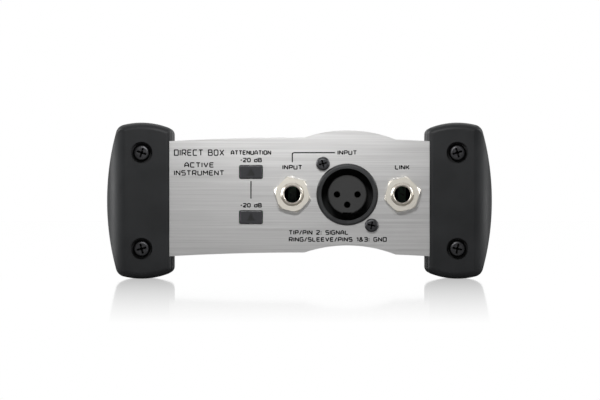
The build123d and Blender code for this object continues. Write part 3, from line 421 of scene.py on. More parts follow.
class Effect(Enum):
    """The shared effects, each a node group: name, inputs, outputs, builder."""

    STREAKS = ("streaks", ["Rate X", "Rate Y", "Rate Z"], ["Streak", "Band"], build_streaks)
    GRAIN = ("grain", ["Size"], ["Height", "Mottle"], build_grain)
    WEAR = ("edge_wear", ["Radius", "Amount"], ["Edge"], build_wear)
    DUST = ("dust", ["Amount"], ["Dust"], build_dust)
    CAVITY_SHADE = ("painted_cavity_shade", ["Distance"], ["Open"], build_cavity_shade)

    def place(self, tree: Tree, *values: float) -> Node:
        """Places this effect in a material.

        Args:
            tree: The material's tree.
            *values: One value for each of the group's inputs.

        Returns:
            The group node.
        """
        name, inputs, outputs, build = self.value
        group = bpy.data.node_groups.get(name) or node_group(name, inputs, outputs, build)
        node = tree.add("Group", {"node_tree": group})
        for socket, value in zip(node.inputs, values):
            socket.default_value = value
        return node


class Lay(Enum):
    """The direction that a metal's brushing or drawing lines run in, as noise rates per metre."""

    ALONG_X = (42.0, 900.0, 7600.0)
    ALONG_Y = (4200.0, 24.0, 4200.0)
    FINE = (5200.0, 5200.0, 5200.0)


def grey(level: float) -> Colour:
    """A colour of three equal parts."""
    return (level, level, level)


@dataclass(frozen=True)
class Finish:
    """A surface whose colour, roughness and relief vary with a pattern."""

    name: str
    dark: Colour
    light: Colour
    rough: Point = (0.4, 0.55)
    metallic: float = 0.0
    lay: Lay | None = None
    grain_mm: float = 0.3
    relief_mm: float = 0.01
    wear: float = 0.0
    wear_mm: float = 0.25
    worn: Colour = grey(0.3)
    dust: float = 0.0
    coat: float = 0.0
    specular: float = 0.5
    # reach of the shade painted into hollows, none if zero
    cavity_shade_mm: float = 0.0

    def material(self) -> bpy.types.Material:
        """Gives this finish's material, which is made once.

        Returns:
            The material.
        """
        found = bpy.data.materials.get(self.name)
        if found:
            return found
        material = bpy.data.materials.new(self.name)
        material.use_nodes = True
        self.fill(Tree(material.node_tree))
        return material

    def pattern(self, tree: Tree) -> tuple[Socket, Socket]:
        """The fine relief and the slow variation of this finish."""
        if self.lay:
            node = Effect.STREAKS.place(tree, *self.lay.value)
        else:
            node = Effect.GRAIN.place(tree, self.grain_mm * MM)
        return node.outputs[0], node.outputs[1]

    def colour(self, tree: Tree, fine: object, slow: object) -> Socket:
        """The base colour before wear and dust."""
        share = tree.math("ADD", tree.times(fine, FINE_SHARE), tree.times(slow, 1 - FINE_SHARE))
        return tree.mix(share, self.dark, self.light)

    def fill(self, tree: Tree) -> None:
        """Fills the material's tree.

        Args:
            tree: The material's tree.
        """
        fine, slow = self.pattern(tree)
        colour = self.colour(tree, fine, slow)
        rough = tree.span(slow, 0, 1, *self.rough)
        if self.wear:
            edge = Effect.WEAR.place(tree, self.wear_mm * MM, self.wear).outputs[0]
            colour = tree.mix(edge, colour, self.worn)
            rough = tree.math("SUBTRACT", rough, tree.times(edge, WEAR_GLOSS))
        # painted shade: the colour is darkened towards DEEP_SHADE where the surface is closed in, as in the
        # screws' recesses
        if self.cavity_shade_mm:
            unshaded_share = Effect.CAVITY_SHADE.place(tree, self.cavity_shade_mm * MM).outputs[0]
            colour = tree.mix(unshaded_share, DEEP_SHADE, colour)
        if self.dust:
            dust = Effect.DUST.place(tree, self.dust).outputs[0]
            colour = tree.mix(dust, colour, DUST_COLOUR)
            rough = tree.math("ADD", rough, tree.times(dust, DUST_ROUGHNESS))
        bump = tree.add("Bump", Height=fine, Strength=BUMP_STRENGTH, Distance=self.relief_mm * MM)
        shader = tree.add("BsdfPrincipled", Base_Color=colour, Roughness=rough, Normal=bump.outputs[0])
        shader.inputs["Metallic"].default_value = self.metallic
        shader.inputs["Coat Weight"].default_value = self.coat
        shader.inputs["Specular IOR Level"].default_value = self.specular
        tree.add("OutputMaterial", Surface=shader.outputs[0])


@dataclass(frozen=True)
class BandedFinish(Finish):
    """A finish with a printed stripe wherever one Object coordinate falls between two values."""

    axis: int = 1
    stripes: tuple[tuple[float, float, Colour], ...] = ()

    def colour(self, tree: Tree, fine: object, slow: object) -> Socket:
        """The base colour with each stripe laid over it."""
        colour = super().colour(tree, fine, slow)
        along = tree.add("SeparateXYZ", Vector=tree.add("TexCoord").outputs["Object"]).outputs[self.axis]
        for low, high, paint in self.stripes:
            inside = tree.times(tree.math("GREATER_THAN", along, low), tree.math("LESS_THAN", along, high))
            colour = tree.mix(inside, colour, paint)
        return colour


@dataclass(frozen=True)
class BoardFinish(Finish):
    """Solder mask with paler copper tracks under it, from the edges of large square cells."""

    track: Colour = (0.06, 0.3, 0.12)
    track_width: float = 0.09  # as a share of a cell

    def colour(self, tree: Tree, fine: object, slow: object) -> Socket:
        """The mask's colour with tracks."""
        colour = super().colour(tree, fine, slow)
        place = tree.add("TexCoord").outputs["Object"]
        settings = {"feature": "DISTANCE_TO_EDGE"}
        cells = tree.add("TexVoronoi", settings, Vector=place, Scale=260.0, Randomness=0.55).outputs[0]
        return tree.mix(tree.math("LESS_THAN", cells, self.track_width), colour, self.track)


BRUSHED = Finish(
    "brushed_panel", (0.63, 0.625, 0.62), (0.81, 0.805, 0.8), (0.335, 0.385), 1.0, Lay.ALONG_X,
    relief_mm=0.002, wear=0.25, wear_mm=0.2, worn=grey(0.85),
)
EXTRUDED = Finish(
    "drawn_housing", grey(0.6), grey(0.8), (0.3, 0.42), 1.0, Lay.ALONG_Y, relief_mm=0.004, dust=0.12,
    wear=0.3, worn=grey(0.88),
)
RUBBER = Finish(
    "satin_rubber", (0.009, 0.0098, 0.0108), (0.014, 0.015, 0.0165), (0.42, 0.52), grain_mm=0.22,
    wear=0.12, wear_mm=0.5, worn=(0.07, 0.07, 0.075), dust=0.05, specular=0.33,
)
# the screw heads' recesses get painted shade from the cavity effect
SCREW = Finish(
    "black_screws", (0.05, 0.05, 0.052), (0.085, 0.085, 0.09), (0.3, 0.42), 1.0, Lay.FINE,
    relief_mm=0.004, wear=0.35, wear_mm=0.12, worn=(0.2, 0.2, 0.21), cavity_shade_mm=1.2,
)
NICKEL = Finish(
    "bushing_nickel", (0.55, 0.51, 0.45), (0.72, 0.68, 0.62), (0.26, 0.38), 1.0, Lay.FINE,
    relief_mm=0.002,
)
NUT = Finish(
    "nut_nickel", (0.5, 0.455, 0.4), (0.68, 0.63, 0.565), (0.3, 0.42), 1.0, Lay.FINE, relief_mm=0.003,
    wear=0.4, wear_mm=0.2, worn=(0.92, 0.9, 0.86),
)
WASHER = Finish("zinc_plate", grey(0.5), (0.7, 0.7, 0.72), (0.3, 0.5), 1.0, Lay.FINE, relief_mm=0.003)
CASTING = Finish(
    "black_casting", (0.024, 0.0245, 0.026), (0.042, 0.043, 0.045), (0.34, 0.48), 0.3, None, 0.12, 0.008,
    wear=0.3, wear_mm=0.2, worn=(0.14, 0.14, 0.145),
)
INSERT = Finish("black_nylon", (0.026, 0.027, 0.028), (0.036, 0.037, 0.038), (0.42, 0.55), grain_mm=0.2)
MOULDING = Finish("jack_moulding", grey(0.003), grey(0.008), (0.5, 0.65), grain_mm=0.2)
BUTTON = Finish(
    "button_plastic", (0.017, 0.0175, 0.018), (0.024, 0.0245, 0.025), (0.36, 0.46), grain_mm=0.15,
    relief_mm=0.006, wear=0.25, wear_mm=0.15, worn=grey(0.1),
)
SWITCH = Finish("switch_body", (0.05, 0.05, 0.055), (0.09, 0.09, 0.1), (0.4, 0.55))
ACETAL = Finish("white_acetal", (0.62, 0.62, 0.6), (0.78, 0.78, 0.76), (0.35, 0.5))
BRONZE = Finish(
    "contact_bronze", (0.3, 0.2, 0.09), (0.45, 0.32, 0.16), (0.25, 0.4), 1.0, Lay.FINE, relief_mm=0.002,
)
# contacts darkened nearly to black: painted shade for the inside of the microphone socket's holes
BRONZE_PAINTED_SHADE = Finish(
    "bronze_painted_shade", (0.015, 0.012, 0.008), (0.03, 0.024, 0.016), (0.5, 0.65), 0.5, Lay.FINE,
)
SPRING = Finish(
    "spring_wire", (0.4, 0.4, 0.42), (0.62, 0.62, 0.64), (0.22, 0.35), 1.0, Lay.FINE, relief_mm=0.002,
)
LENS = Finish("red_lens", (0.45, 0.01, 0.01), (0.6, 0.02, 0.015), (0.08, 0.16), coat=0.6, grain_mm=0.5)
TIN = Finish(
    "tinned_wire", (0.55, 0.55, 0.56), (0.75, 0.75, 0.76), (0.25, 0.4), 1.0, Lay.FINE, relief_mm=0.003,
)
MASK = BoardFinish(
    "solder_mask", (0.01, 0.11, 0.035), (0.02, 0.19, 0.07), (0.2, 0.35), grain_mm=0.6, coat=0.3,
)
CORE = Finish("core_laminations", grey(0.1), (0.3, 0.3, 0.31), (0.35, 0.6), 0.8, Lay.FINE, relief_mm=0.02)
COPPER = Finish("enamelled_copper", (0.4, 0.13, 0.04), (0.62, 0.25, 0.09), (0.2, 0.35), 0.9, coat=0.4)
CHIP = Finish("chip_epoxy", grey(0.012), grey(0.03), (0.45, 0.6), grain_mm=0.15)
SLEEVE = Finish("capacitor_sleeve", (0.012, 0.018, 0.06), (0.03, 0.04, 0.12), (0.25, 0.4), coat=0.2)
CAN_TOP = Finish("capacitor_can", (0.55, 0.55, 0.57), (0.75, 0.75, 0.77), (0.25, 0.4), 1.0, Lay.FINE)
TRAY = Finish("tray_plastic", (0.03, 0.03, 0.033), (0.055, 0.055, 0.06), (0.45, 0.6), grain_mm=0.35)
VINYL = Finish("snap_vinyl", grey(0.012), grey(0.03), (0.35, 0.5))
RED_WIRE = Finish("red_wire", (0.35, 0.01, 0.01), (0.5, 0.02, 0.02), (0.3, 0.45), grain_mm=0.5)
BLACK_WIRE = Finish("black_wire", grey(0.012), grey(0.03), (0.3, 0.45), grain_mm=0.5)
# painted shade for the floor of the buttons' triangular recesses
RECESS_SHADE = Finish("recess_painted_shade", grey(0.006), grey(0.011), (0.5, 0.65), grain_mm=0.1)
INK = Finish("black_ink", grey(0.002), grey(0.005), (0.7, 0.85), grain_mm=0.1, specular=0.15)


def dress(finish: Finish, *nodes: str) -> None:
    """Gives CAD nodes a finish.

    Args:
        finish: The finish.
        *nodes: Node names.
    """
    for name in nodes:
        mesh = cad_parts[name].data
        mesh.materials.clear()
        mesh.materials.append(finish.material())
        mesh.polygons.foreach_set("material_index", np.zeros(len(mesh.polygons), np.int32))


def box_mm(node: str) -> tuple[np.ndarray, np.ndarray]:
    """The low and the high corner of a CAD node's box, in millimetres."""
    low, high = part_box(node)
    return np.array(low) / MM, np.array(high) / MM


def middle(node: str) -> np.ndarray:
    """The middle of a CAD node's box."""
    low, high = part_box(node)
    return (np.array(low) + np.array(high)) / 2


# --- lettering ---
# Each glyph is its width, then the corners x,y of each stroke, in hundredths of the letters' height.
GLYPHS = {
    " ": "42",
    "A": "82; 0,0 0,62 30,100 52,100 82,62 82,0; 0,36 82,36",
    "B": "80; 0,0 0,100; -10,100 74,100 74,54 0,54 80,54 80,0 -10,0",
    "C": "78; 78,100 0,100 0,0 78,0",
    "D": "80; 0,0 0,100; -10,100 80,100 80,0 -10,0",
    "E": "74; 74,100 0,100 0,0 74,0; 0,52 66,52",
    "F": "72; 72,100 0,100 0,0; 0,52 62,52",
    "G": "80; 80,100 0,100 0,0 80,0 80,50 42,50",
    "I": "0; 0,0 0,100",
    "K": "76; 0,0 0,100; 76,100 34,52 0,52; 34,52 76,0",
    "L": "70; 0,100 0,0 70,0",
    "M": "96; 0,0 0,100 48,40 96,100 96,0",
    "N": "82; 0,0 0,100 82,0 82,100",
    "O": "80; 50,0 12,0 0,12 0,88 12,100 68,100 80,88 80,12 68,0 50,0",
    "P": "78; 0,0 0,100 78,100 78,42 0,42",
    "R": "80; 0,0 0,100 78,100 78,42 0,42; 42,42 80,0",
    "S": "78; 78,100 0,100 0,52 78,52 78,0 0,0",
    "T": "80; 0,100 80,100; 40,100 40,0",
    "U": "80; 0,100 0,0 80,0 80,100",
    "V": "84; 0,100 42,0 84,100",
    "W": "110; 0,100 28,0 55,80 82,0 110,100",
    "X": "80; 0,0 80,100; 0,100 80,0",
    "1": "34; 0,78 34,100 34,0",
    "2": "76; 0,90 0,100 76,100 76,60 0,20 0,0 76,0",
    "3": "76; 0,100 76,100 76,0 0,0; 16,52 76,52",
    "d": "76; 76,100 76,0 0,0 0,66 76,66",
    "-": "44; 0,50 44,50",
    "/": "50; 0,-5 50,105",
    ":": "10; 5,0 5,20; 5,56 5,76",
    "&": "86; 86,0 16,78 16,100 56,100 56,76 0,34 0,0 50,0 86,42",
}
GLYPHS["0"] = GLYPHS["O"]


def glyph(letter: str) -> tuple[float, list[np.ndarray]]:
    """A letter's width and the corners of its strokes, in letter heights."""
    wide, *strokes = GLYPHS[letter].split("; ")
    runs = [[corner.split(",") for corner in stroke.split()] for stroke in strokes]
    return float(wide) / 100, [np.array(run, float) / 100 for run in runs]


@dataclass(frozen=True)
class Label:
    """One line of printing, in millimetres.

    Its words, its middle or left end, its cap height and its whole width.
    """

    words: str
    x: float
    z: float
    height: float
    width: float
    from_left: bool = False


@dataclass
class Printing:
    """Ink on one panel: plain technical lettering and thin lines, a little proud of the metal."""

    name: str
    face_y: float
    outward: int
    labels: list[Label]
    lines: list[list[Point]] = field(default_factory=list)
    stroke: float = 0.42
    line_width: float = 0.44
    thickness: float = 0.03
    gap: float = 0.4
    corner: float = 0.16
    line_corner: float = 0.9
    line_corner_steps: int = 8

    def strokes(self, label: Label) -> list[np.ndarray]:
        """The middle lines of a label's strokes, in millimetres.

        Args:
            label: The label.

        Returns:
            One path for each stroke, scaled so that the whole word has the label's width.
        """
        pen, paths = 0.0, []
        for letter in label.words:
            wide, drawn = glyph(letter)
            for stroke in drawn:
                paths.append(rounded_path(stroke, self.corner) + (pen, -0.5))
            pen += wide + self.gap
        pen -= self.gap
        lean = (label.width - self.stroke) / pen
        tall = label.height - self.stroke
        start = label.x + self.stroke / 2 if label.from_left else label.x - pen * lean / 2
        turned = np.array([-self.outward, 1.0])  # words on a panel that faces +Y run towards -X
        origin = np.array([start, label.z])
        placed = [path * (lean, tall) + origin for path in paths]
        pivot = np.array([label.x, 0.0])
        return [(path - pivot) * turned + pivot for path in placed]

    def build(self) -> None:
        """Builds the ink as one piece."""
        builder = MeshBuilder()
        near, far = self.face_y + self.outward * self.thickness * MM, self.face_y
        drawn = [(path, self.stroke) for label in self.labels for path in self.strokes(label)]
        for line in self.lines:
            drawn.append((rounded_path(line, self.line_corner, self.line_corner_steps), self.line_width))
        for path, width in drawn:
            points = ribbon(path * MM, width * MM, near, far)
            builder.add(points, tube_quads(len(path), 4))
        builder.piece(self.name, INK, "black_nylon")


# --- sub-assemblies ---
@dataclass
class Casing:
    """Housing, panels, rubber corners, their screws and the panels' printing, in millimetres."""

    label_height: float = 1.85
    caption_height: float = 1.75  # of the words right over a button
    title_heights: Point = (2.5, 2.1)  # of its first line and of the two below
    title_left: float = 57.7  # its middle, left of the microphone socket's axis
    title_drops: Point = (4.8, 7.9)  # its lower lines, below the first
    note_left: float = 22.8  # where the wiring notes start, left of the socket's axis
    note_drops: Point = (14.8, 17.5)  # below the socket's axis
    bracket_rise: float = 16.3  # the line between the two inputs, above the socket's axis
    bracket_foot: float = 12.6  # its lower end, above the jack's axis
    bracket_gap: float = 4.8  # from its right end to the socket's axis
    label_rise: float = 10.6  # words over a jack, above its axis
    heading_rise: float = 7.5  # the heading over a button, above its middle
    caption_rise: float = 4.6
    line_start: float = 3.6  # the line between the buttons starts this far below the upper one
    line_end: float = 7.2  # and ends this far above the lower one
    ground_rises: Point = (7.6, 4.7)  # the two words over the ground lift button
    power_drop: float = 5.2  # the word under the power button

    def dress(self) -> None:
        """Gives the casing's CAD nodes their finishes."""
        dress(EXTRUDED, "housing")
        dress(BRUSHED, "front_panel", "rear_panel")
        dress(RUBBER, "corner_front_left", "corner_front_right", "corner_rear_left", "corner_rear_right")
        dress(SCREW, "corner_screws", "xlr_screws")

    def front_printing(self) -> None:
        """The input panel's words and lines, placed from the sockets and buttons."""
        upper, lower = (middle(f"{place}_pad_button") / MM for place in ("upper", "lower"))
        phone, link = (middle(f"{place}_jack_bushing") / MM for place in ("input", "link"))
        socket = middle("xlr_input_insert") / MM
        high, small = self.label_height, self.caption_height
        big, medium = self.title_heights
        bracket_z = socket[2] + self.bracket_rise
        title_x, note_x = socket[0] - self.title_left, socket[0] - self.note_left
        labels = [
            Label("DIRECT BOX", title_x, bracket_z, big, 19.6),
            Label("ACTIVE", title_x, bracket_z - self.title_drops[0], medium, 11.6),
            Label("INSTRUMENT", title_x, bracket_z - self.title_drops[1], medium, 19.6),
            Label("ATTENUATION", upper[0], upper[2] + self.heading_rise, high, 15.8),
            Label("-20 dB", upper[0], upper[2] + self.caption_rise, small, 8.5),
            Label("-20 dB", lower[0], lower[2] + self.caption_rise, small, 8.5),
            Label("INPUT", phone[0], phone[2] + self.label_rise, high, 7.75),
            Label("LINK", link[0], link[2] + self.label_rise, high, 5.75),
            Label("INPUT", socket[0], bracket_z, high, 7.6),
            Label("TIP/PIN 2: SIGNAL", note_x, socket[2] - self.note_drops[0], high, 23.3, True),
            Label("RING/SLEEVE/PINS 1&3: GND", note_x, socket[2] - self.note_drops[1], high, 38.2, True),
        ]
        bracket_end = (socket[0] - self.bracket_gap, bracket_z)
        lines = [
            [(upper[0], upper[2] - self.line_start), (upper[0], lower[2] + self.line_end)],
            [(phone[0], phone[2] + self.bracket_foot), (phone[0], bracket_z), bracket_end],
        ]
        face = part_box("front_panel")[0].y
        Printing("front_printing", face, -1, labels, lines).build()

    def rear_printing(self) -> None:
        """The output panel's words, placed from its socket, buttons and lamp."""
        ground, power = (middle(f"{place}_button") / MM for place in ("ground_lift", "power"))
        socket = middle("xlr_output_insert") / MM
        high = self.label_height
        labels = [
            Label("OUTPUT", socket[0], socket[2] + self.bracket_rise, high, 9.2),
            Label("GROUND", ground[0], ground[2] + self.ground_rises[0], high, 10.4),
            Label("LIFT", ground[0], ground[2] + self.ground_rises[1], high, 5.0),
            Label("POWER", power[0], power[2] - self.power_drop, high, 8.4),
        ]
        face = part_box("rear_panel")[1].y
        Printing("rear_printing", face, 1, labels).build()


@dataclass
class Jack:
    """One phone jack: a threaded bushing in place of the plain one, and the finishes of the rest."""

    name: str
    thread_radius: float = 4.5
    bore_radius: float = 3.2
    pitch: float = 0.75
    depth: float = 0.34
    chamfer: float = 0.7
    lip: float = 0.25  # taken off the bore's edge
    shoulder: float = 1.2
    shoulder_radius: float = 6.2
    segments: int = 96
    steps_per_pitch: int = 10

    def bushing(self) -> None:
        """Builds the bushing: a threaded barrel with a chamfered tip, a bore and a shoulder behind the panel.

        The barrel's radius is its outer radius less half the thread's depth times one minus the cosine of
        the distance along the axis in pitches, less the angle round it.
        """
        node = f"{self.name}_jack_bushing"
        low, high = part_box(node)
        centre = middle(node)
        front, back = low.y / MM, high.y / MM
        panel = back - self.shoulder
        steps = int((panel - front - self.chamfer) / self.pitch * self.steps_per_pitch)
        along = np.linspace(front + self.chamfer, panel, steps)
        barrel = np.stack([np.full(steps, self.thread_radius), along], 1)
        tip = [(self.bore_radius, front + self.lip), (self.bore_radius + self.lip, front)]
        tip += [(self.thread_radius - self.chamfer, front)]
        rear = [(self.shoulder_radius, panel), (self.shoulder_radius, back), (self.bore_radius, back)]
        profile = np.vstack([tip, barrel, rear])
        phase = 2 * math.pi * profile[:, 1:] / self.pitch - circle_steps(self.segments)
        ripple = -self.depth * (0.5 - 0.5 * np.cos(phase))
        threaded = np.zeros(len(profile), bool)
        threaded[len(tip) : len(tip) + steps - 1] = True
        ripple[~threaded] = 0
        points = revolved(profile * MM, (centre[0], centre[2]), self.segments, ripple * MM)
        builder = MeshBuilder()
        builder.add(points, loft_quads(len(profile), self.segments))
        name = node.replace("_bushing", "_threaded_bushing")
        builder.piece(name, NICKEL, "bright_nickel", replaces=node)

    def dress(self) -> None:
        """Gives the jack's CAD nodes their finishes."""
        dress(MOULDING, f"{self.name}_jack_body")
        dress(BRONZE, f"{self.name}_jack_contacts")


@dataclass
class Sockets:
    """The two microphone sockets and the jacks' nuts and washers."""

    def dress(self) -> None:
        """Gives their CAD nodes their finishes."""
        dress(CASTING, "xlr_input_shell", "xlr_output_shell")
        dress(INSERT, "xlr_input_insert", "xlr_output_insert")
        # the input contacts carry painted shade so that the socket's holes look shaded
        dress(BRONZE_PAINTED_SHADE, "xlr_input_contacts")
        dress(NICKEL, "xlr_output_pins")
        dress(NUT, "jack_nuts")
        dress(WASHER, "jack_washers")


@dataclass
class PushSwitches:
    """The four latching switches."""

    names: tuple[str, ...] = ("upper_pad", "lower_pad", "ground_lift", "power")
    travel: float = 2.5
    wire: float = 0.35
    turns: int = 6
    steps_per_turn: int = 32
    wire_sides: int = 8
    smooth_deg: float = 60.0
    mark_width: float = 3.0
    mark_height: float = 2.7
    mark_depth: float = 0.3
    mark_tip: float = 0.08
    mark_rows: int = 12
    # thickness of the painted shade on a recess floor
    paint: float = 0.03

    def dress(self) -> None:
        """Gives their CAD nodes their finishes."""
        for name in self.names:
            dress(BUTTON, f"{name}_button")
            dress(ACETAL, f"{name}_plunger")
            dress(SWITCH, f"{name}_switch_body")

    def coil(self, name: str) -> None:
        """Builds the return spring as a coil of wire, in place of the CAD spring.

        The wire's middle is (x + R cos a, y0 + L s, z + R sin a) with a = 2 pi N s for s from 0 to 1, and
        its skin lies one wire radius from that along the radial direction and the one square to it.

        Args:
            name: The switch's name.
        """
        node = f"{name}_spring"
        low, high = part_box(node)
        x, _, z = middle(node)
        wire = self.wire * MM / 2
        radius = (high.x - low.x) / 2 - wire
        start, length = low.y + wire, high.y - low.y - 2 * wire
        share = np.linspace(0, 1, self.turns * self.steps_per_turn)
        angle = 2 * math.pi * self.turns * share
        zero = np.zeros(len(share))
        radial = np.stack([np.cos(angle), zero, np.sin(angle)], 1)
        centre = np.array([x, start, z]) + radial * radius
        centre[:, 1] += length * share
        tangent = np.gradient(centre, axis=0)
        tangent /= np.linalg.norm(tangent, axis=1, keepdims=True)
        square = np.cross(tangent, radial)
        turn = circle_steps(self.wire_sides)[None, :, None]
        skin = centre[:, None] + wire * (np.cos(turn) * radial[:, None] + np.sin(turn) * square[:, None])
        builder = MeshBuilder()
        builder.add(skin.reshape(-1, 3), tube_quads(len(share), self.wire_sides))
        piece = builder.piece(f"{name}_coil", SPRING, "spring_steel", self.smooth_deg, replaces=node)
        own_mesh(piece)

    def mark(self, name: str) -> None:
        """Builds a dark layer on the floor of a button's triangular recess: painted shade, which moves with
        the button.

        It is a strip from the triangle's foot to its tip, whose width falls evenly to a point.

        Args:
            name: The switch's name.
        """
        low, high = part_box(f"{name}_button")
        x, y, z = middle(f"{name}_button")
        face, inward = (low.y, 1) if y < 0 else (high.y, -1)
        rise = np.linspace(-0.5, 0.5, self.mark_rows) * self.mark_height * MM
        path = np.stack([np.full(len(rise), x), z + rise], 1)
        widths = np.linspace(self.mark_width, self.mark_tip, self.mark_rows) * MM
        builder = MeshBuilder()
        floor = face + inward * self.mark_depth * MM
        strip = ribbon(path, widths, floor - inward * self.paint * MM, floor)
        builder.add(strip, tube_quads(len(path), 4))
        builder.piece(f"{name}_mark", RECESS_SHADE, "button_plastic", body=f"{name}_slider")


@dataclass
class Electronics:
    """Boards, transformer, lamp, battery and the small parts on the main board, in millimetres."""

    battery_band: float = 0.3  # share of the battery's length that is gold
    first_band: float = -1.9  # where the resistors' first stripe starts, from their middle
    band_width: float = 0.4
    wire: float = 0.45
    steps_per_wire: int = 6
    winding_segments: int = 96
    smooth_deg: float = 60.0
    corner_power: float = 0.35  # the less, the squarer the winding's corners
    bore_half_width: float = 5.4
    bore_room: float = 1.1  # from the core's depth to the winding's bore
    can_radius: float = 3.15
    can_columns: int = 3
    can_segments: int = 32
    cap_insets: Place = (0.8, 0.6, 0.5)  # the disc's face, groove and rim, in from the can's side
    cap_drops: Place = (0.12, 0.1, 0.02)  # groove, rim and underside, below the disc's face
    cap_rise: float = 0.14  # the disc's face above the can
    pole: float = 0.001  # radius at which a turned profile's middle is closed
    pin_count: int = 4
    chip_length: float = 9.6
    leg_width: float = 0.5
    leg_thickness: float = 0.25
    leg_root: float = 0.4  # the leg's start inside the chip
    leg_reach: float = 0.9
    leg_bend: float = 0.35

    def dress(self) -> None:
        """Gives their CAD nodes their finishes."""
        dress(MASK, "main_board", "front_board", "rear_board")
        dress(INSERT, "header_strips", "lamp_spacer")
        dress(NICKEL, "header_pins")
        dress(CORE, "transformer_core")
        dress(ACETAL, "transformer_bobbin")
        dress(WASHER, "transformer_strap")
        dress(SLEEVE, "capacitors")
        dress(CHIP, "amplifier_chips")
        dress(LENS, "power_lamp")
        dress(TIN, "lamp_leads")
        dress(TRAY, "battery_tray")
        dress(VINYL, "battery_snap")
        dress(RED_WIRE, "battery_lead_red")
        dress(BLACK_WIRE, "battery_lead_black")
        low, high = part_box("battery")
        band = low.y + (high.y - low.y) * self.battery_band
        gold, black = (0.5, 0.32, 0.06), (0.02, 0.02, 0.025)
        jacket = BandedFinish(
            "battery_jacket", (0.02, 0.02, 0.03), (0.06, 0.06, 0.08), (0.2, 0.32), 0.7, coat=0.3,
            stripes=((low.y, band, gold), (band, band + MM, black)),
        )
        dress(jacket, "battery")
        low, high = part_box("resistors")
        first = (low.y + high.y) / 2 + self.first_band * MM
        paints = ((0.3, 0.08, 0.02), grey(0.02), (0.5, 0.03, 0.02), (0.55, 0.35, 0.05))
        wide = self.band_width * MM
        bands = tuple((first + i * MM, first + i * MM + wide, paint) for i, paint in enumerate(paints))
        lacquer = BandedFinish(
            "resistor_lacquer", (0.2, 0.36, 0.5), (0.3, 0.48, 0.62), (0.25, 0.4), coat=0.4, stripes=bands
        )
        dress(lacquer, "resistors")

    def winding(self) -> None:
        """Builds the coil as turns of wire round a rounded rectangle, in place of the plain block.

        A closed profile, whose outer side bulges by half a wire at each turn, is carried round the loop
        (sgn(cos t) |cos t|^p, sgn(sin t) |sin t|^p), scaled by the profile's distances out along X and Y.
        """
        low, high = box_mm("transformer_winding")
        core_low, core_high = box_mm("transformer_core")
        centre, half, tall = (low + high) / 2, (high - low) / 2, high[2] - low[2]
        turns = int(tall / self.wire)
        rise = np.linspace(low[2], high[2], turns * self.steps_per_wire)
        bulge = np.abs(np.sin(math.pi * (rise - low[2]) / tall * turns)) * self.wire / 2
        bore = [self.bore_half_width, (core_high[1] - core_low[1]) / 2 + self.bore_room]
        reach = np.vstack([half[:2] - self.wire / 2 + bulge[:, None], bore, bore])
        level = np.concatenate([rise, [high[2], low[2]]])
        turn = circle_steps(self.winding_segments)
        loop = np.stack([np.cos(turn), np.sin(turn)], -1)
        loop = np.sign(loop) * np.abs(loop) ** self.corner_power
        flat = centre[:2] + reach[:, None] * loop
        rows = np.dstack([flat, np.repeat(level[:, None], len(turn), 1)])
        builder = MeshBuilder()
        builder.add(rows.reshape(-1, 3) * MM, loft_quads(len(rows), len(turn)))
        copper = ("transformer_turns", COPPER, "winding_copper", self.smooth_deg)
        builder.piece(*copper, replaces="transformer_winding")

    def capacitor_tops(self) -> None:
        """Builds the bare metal discs that the sleeves leave open: a profile turned round each can's axis."""
        low, high = box_mm("capacitors")
        face, groove, rim = (self.can_radius - inset for inset in self.cap_insets)
        groove_drop, rim_drop, under = self.cap_drops
        upper = [(self.pole, 0), (face, 0), (groove, groove_drop), (rim, rim_drop)]
        profile = np.array([*upper, (rim, under), (self.pole, under)]) * (1, -1)
        profile += (0, high[2] + self.cap_rise)
        quads = loft_quads(len(profile), self.can_segments)
        builder = MeshBuilder()
        for x in np.linspace(low[0] + self.can_radius, high[0] - self.can_radius, self.can_columns):
            for y in (low[1] + self.can_radius, high[1] - self.can_radius):
                disc = revolved(profile, (x, y), self.can_segments)
                builder.add(disc[:, [0, 2, 1]] * MM, quads)
        builder.piece("capacitor_tops", CAN_TOP, "lead_tin")

    def chip_legs(self) -> None:
        """Builds the chips' legs: flat strips that leave each side, bend down and end on the board."""
        low, high = box_mm("amplifier_chips")
        board = box_mm("main_board")[1][2]
        level, half = (low[2] + high[2]) / 2, self.leg_width / 2
        builder = MeshBuilder()
        for start in (low[0], high[0] - self.chip_length):
            for pin in range(self.pin_count):
                x = start + self.chip_length * (pin + 0.5) / self.pin_count
                for side, edge in ((-1, low[1]), (1, high[1])):
                    bend = edge + side * self.leg_reach
                    corners = [(edge - side * self.leg_root, level), (bend, level), (bend, board)]
                    path = rounded_path(corners, self.leg_bend)
                    strip = ribbon(path, self.leg_thickness, x - half, x + half)
                    builder.add(strip[:, [1, 0, 2]] * MM, tube_quads(len(path), 4))
        builder.piece("chip_legs", TIN, "lead_tin")


# --- studio ---
@dataclass(frozen=True)
class Lamp:
    """One rectangular light: its middle, aim and size in metres, and its power in watts."""

    name: str
    place: Place
    aim: Place
    size: Point
    watts: float

    def build(self) -> None:
        """Builds the light, turned to its aim and hidden from the camera."""
        data = bpy.data.lights.new(self.name, "AREA")
        data.shape = "RECTANGLE"
        data.size, data.size_y = self.size
        data.energy = self.watts
        light = bpy.data.objects.new(self.name, data)
        light.location = self.place
        across, along, rise = np.array(self.aim) - np.array(self.place)
        yaw = math.atan2(across, -along)
        pitch = math.atan2(math.hypot(across, along), -rise)
        light.rotation_euler = (pitch, 0, yaw + math.pi)
        light.visible_camera = False
        bpy.context.scene.collection.objects.link(light)


LAMPS = (
    Lamp("top_front", (-0.005, -0.27, 0.135), (-0.005, -0.06, 0.045), (0.07, 0.04), 0.21),
    Lamp("left_side", (-0.6, -0.1, 0.2), (0, 0, 0.03), (0.3, 0.5), 4.0),
    Lamp("right_side", (0.6, -0.1, 0.2), (0, 0, 0.03), (0.3, 0.5), 2.5),
    Lamp("overhead", (0.0, 0.3, 0.8), (0, 0, 0), (0.6, 0.6), 1.2),
)


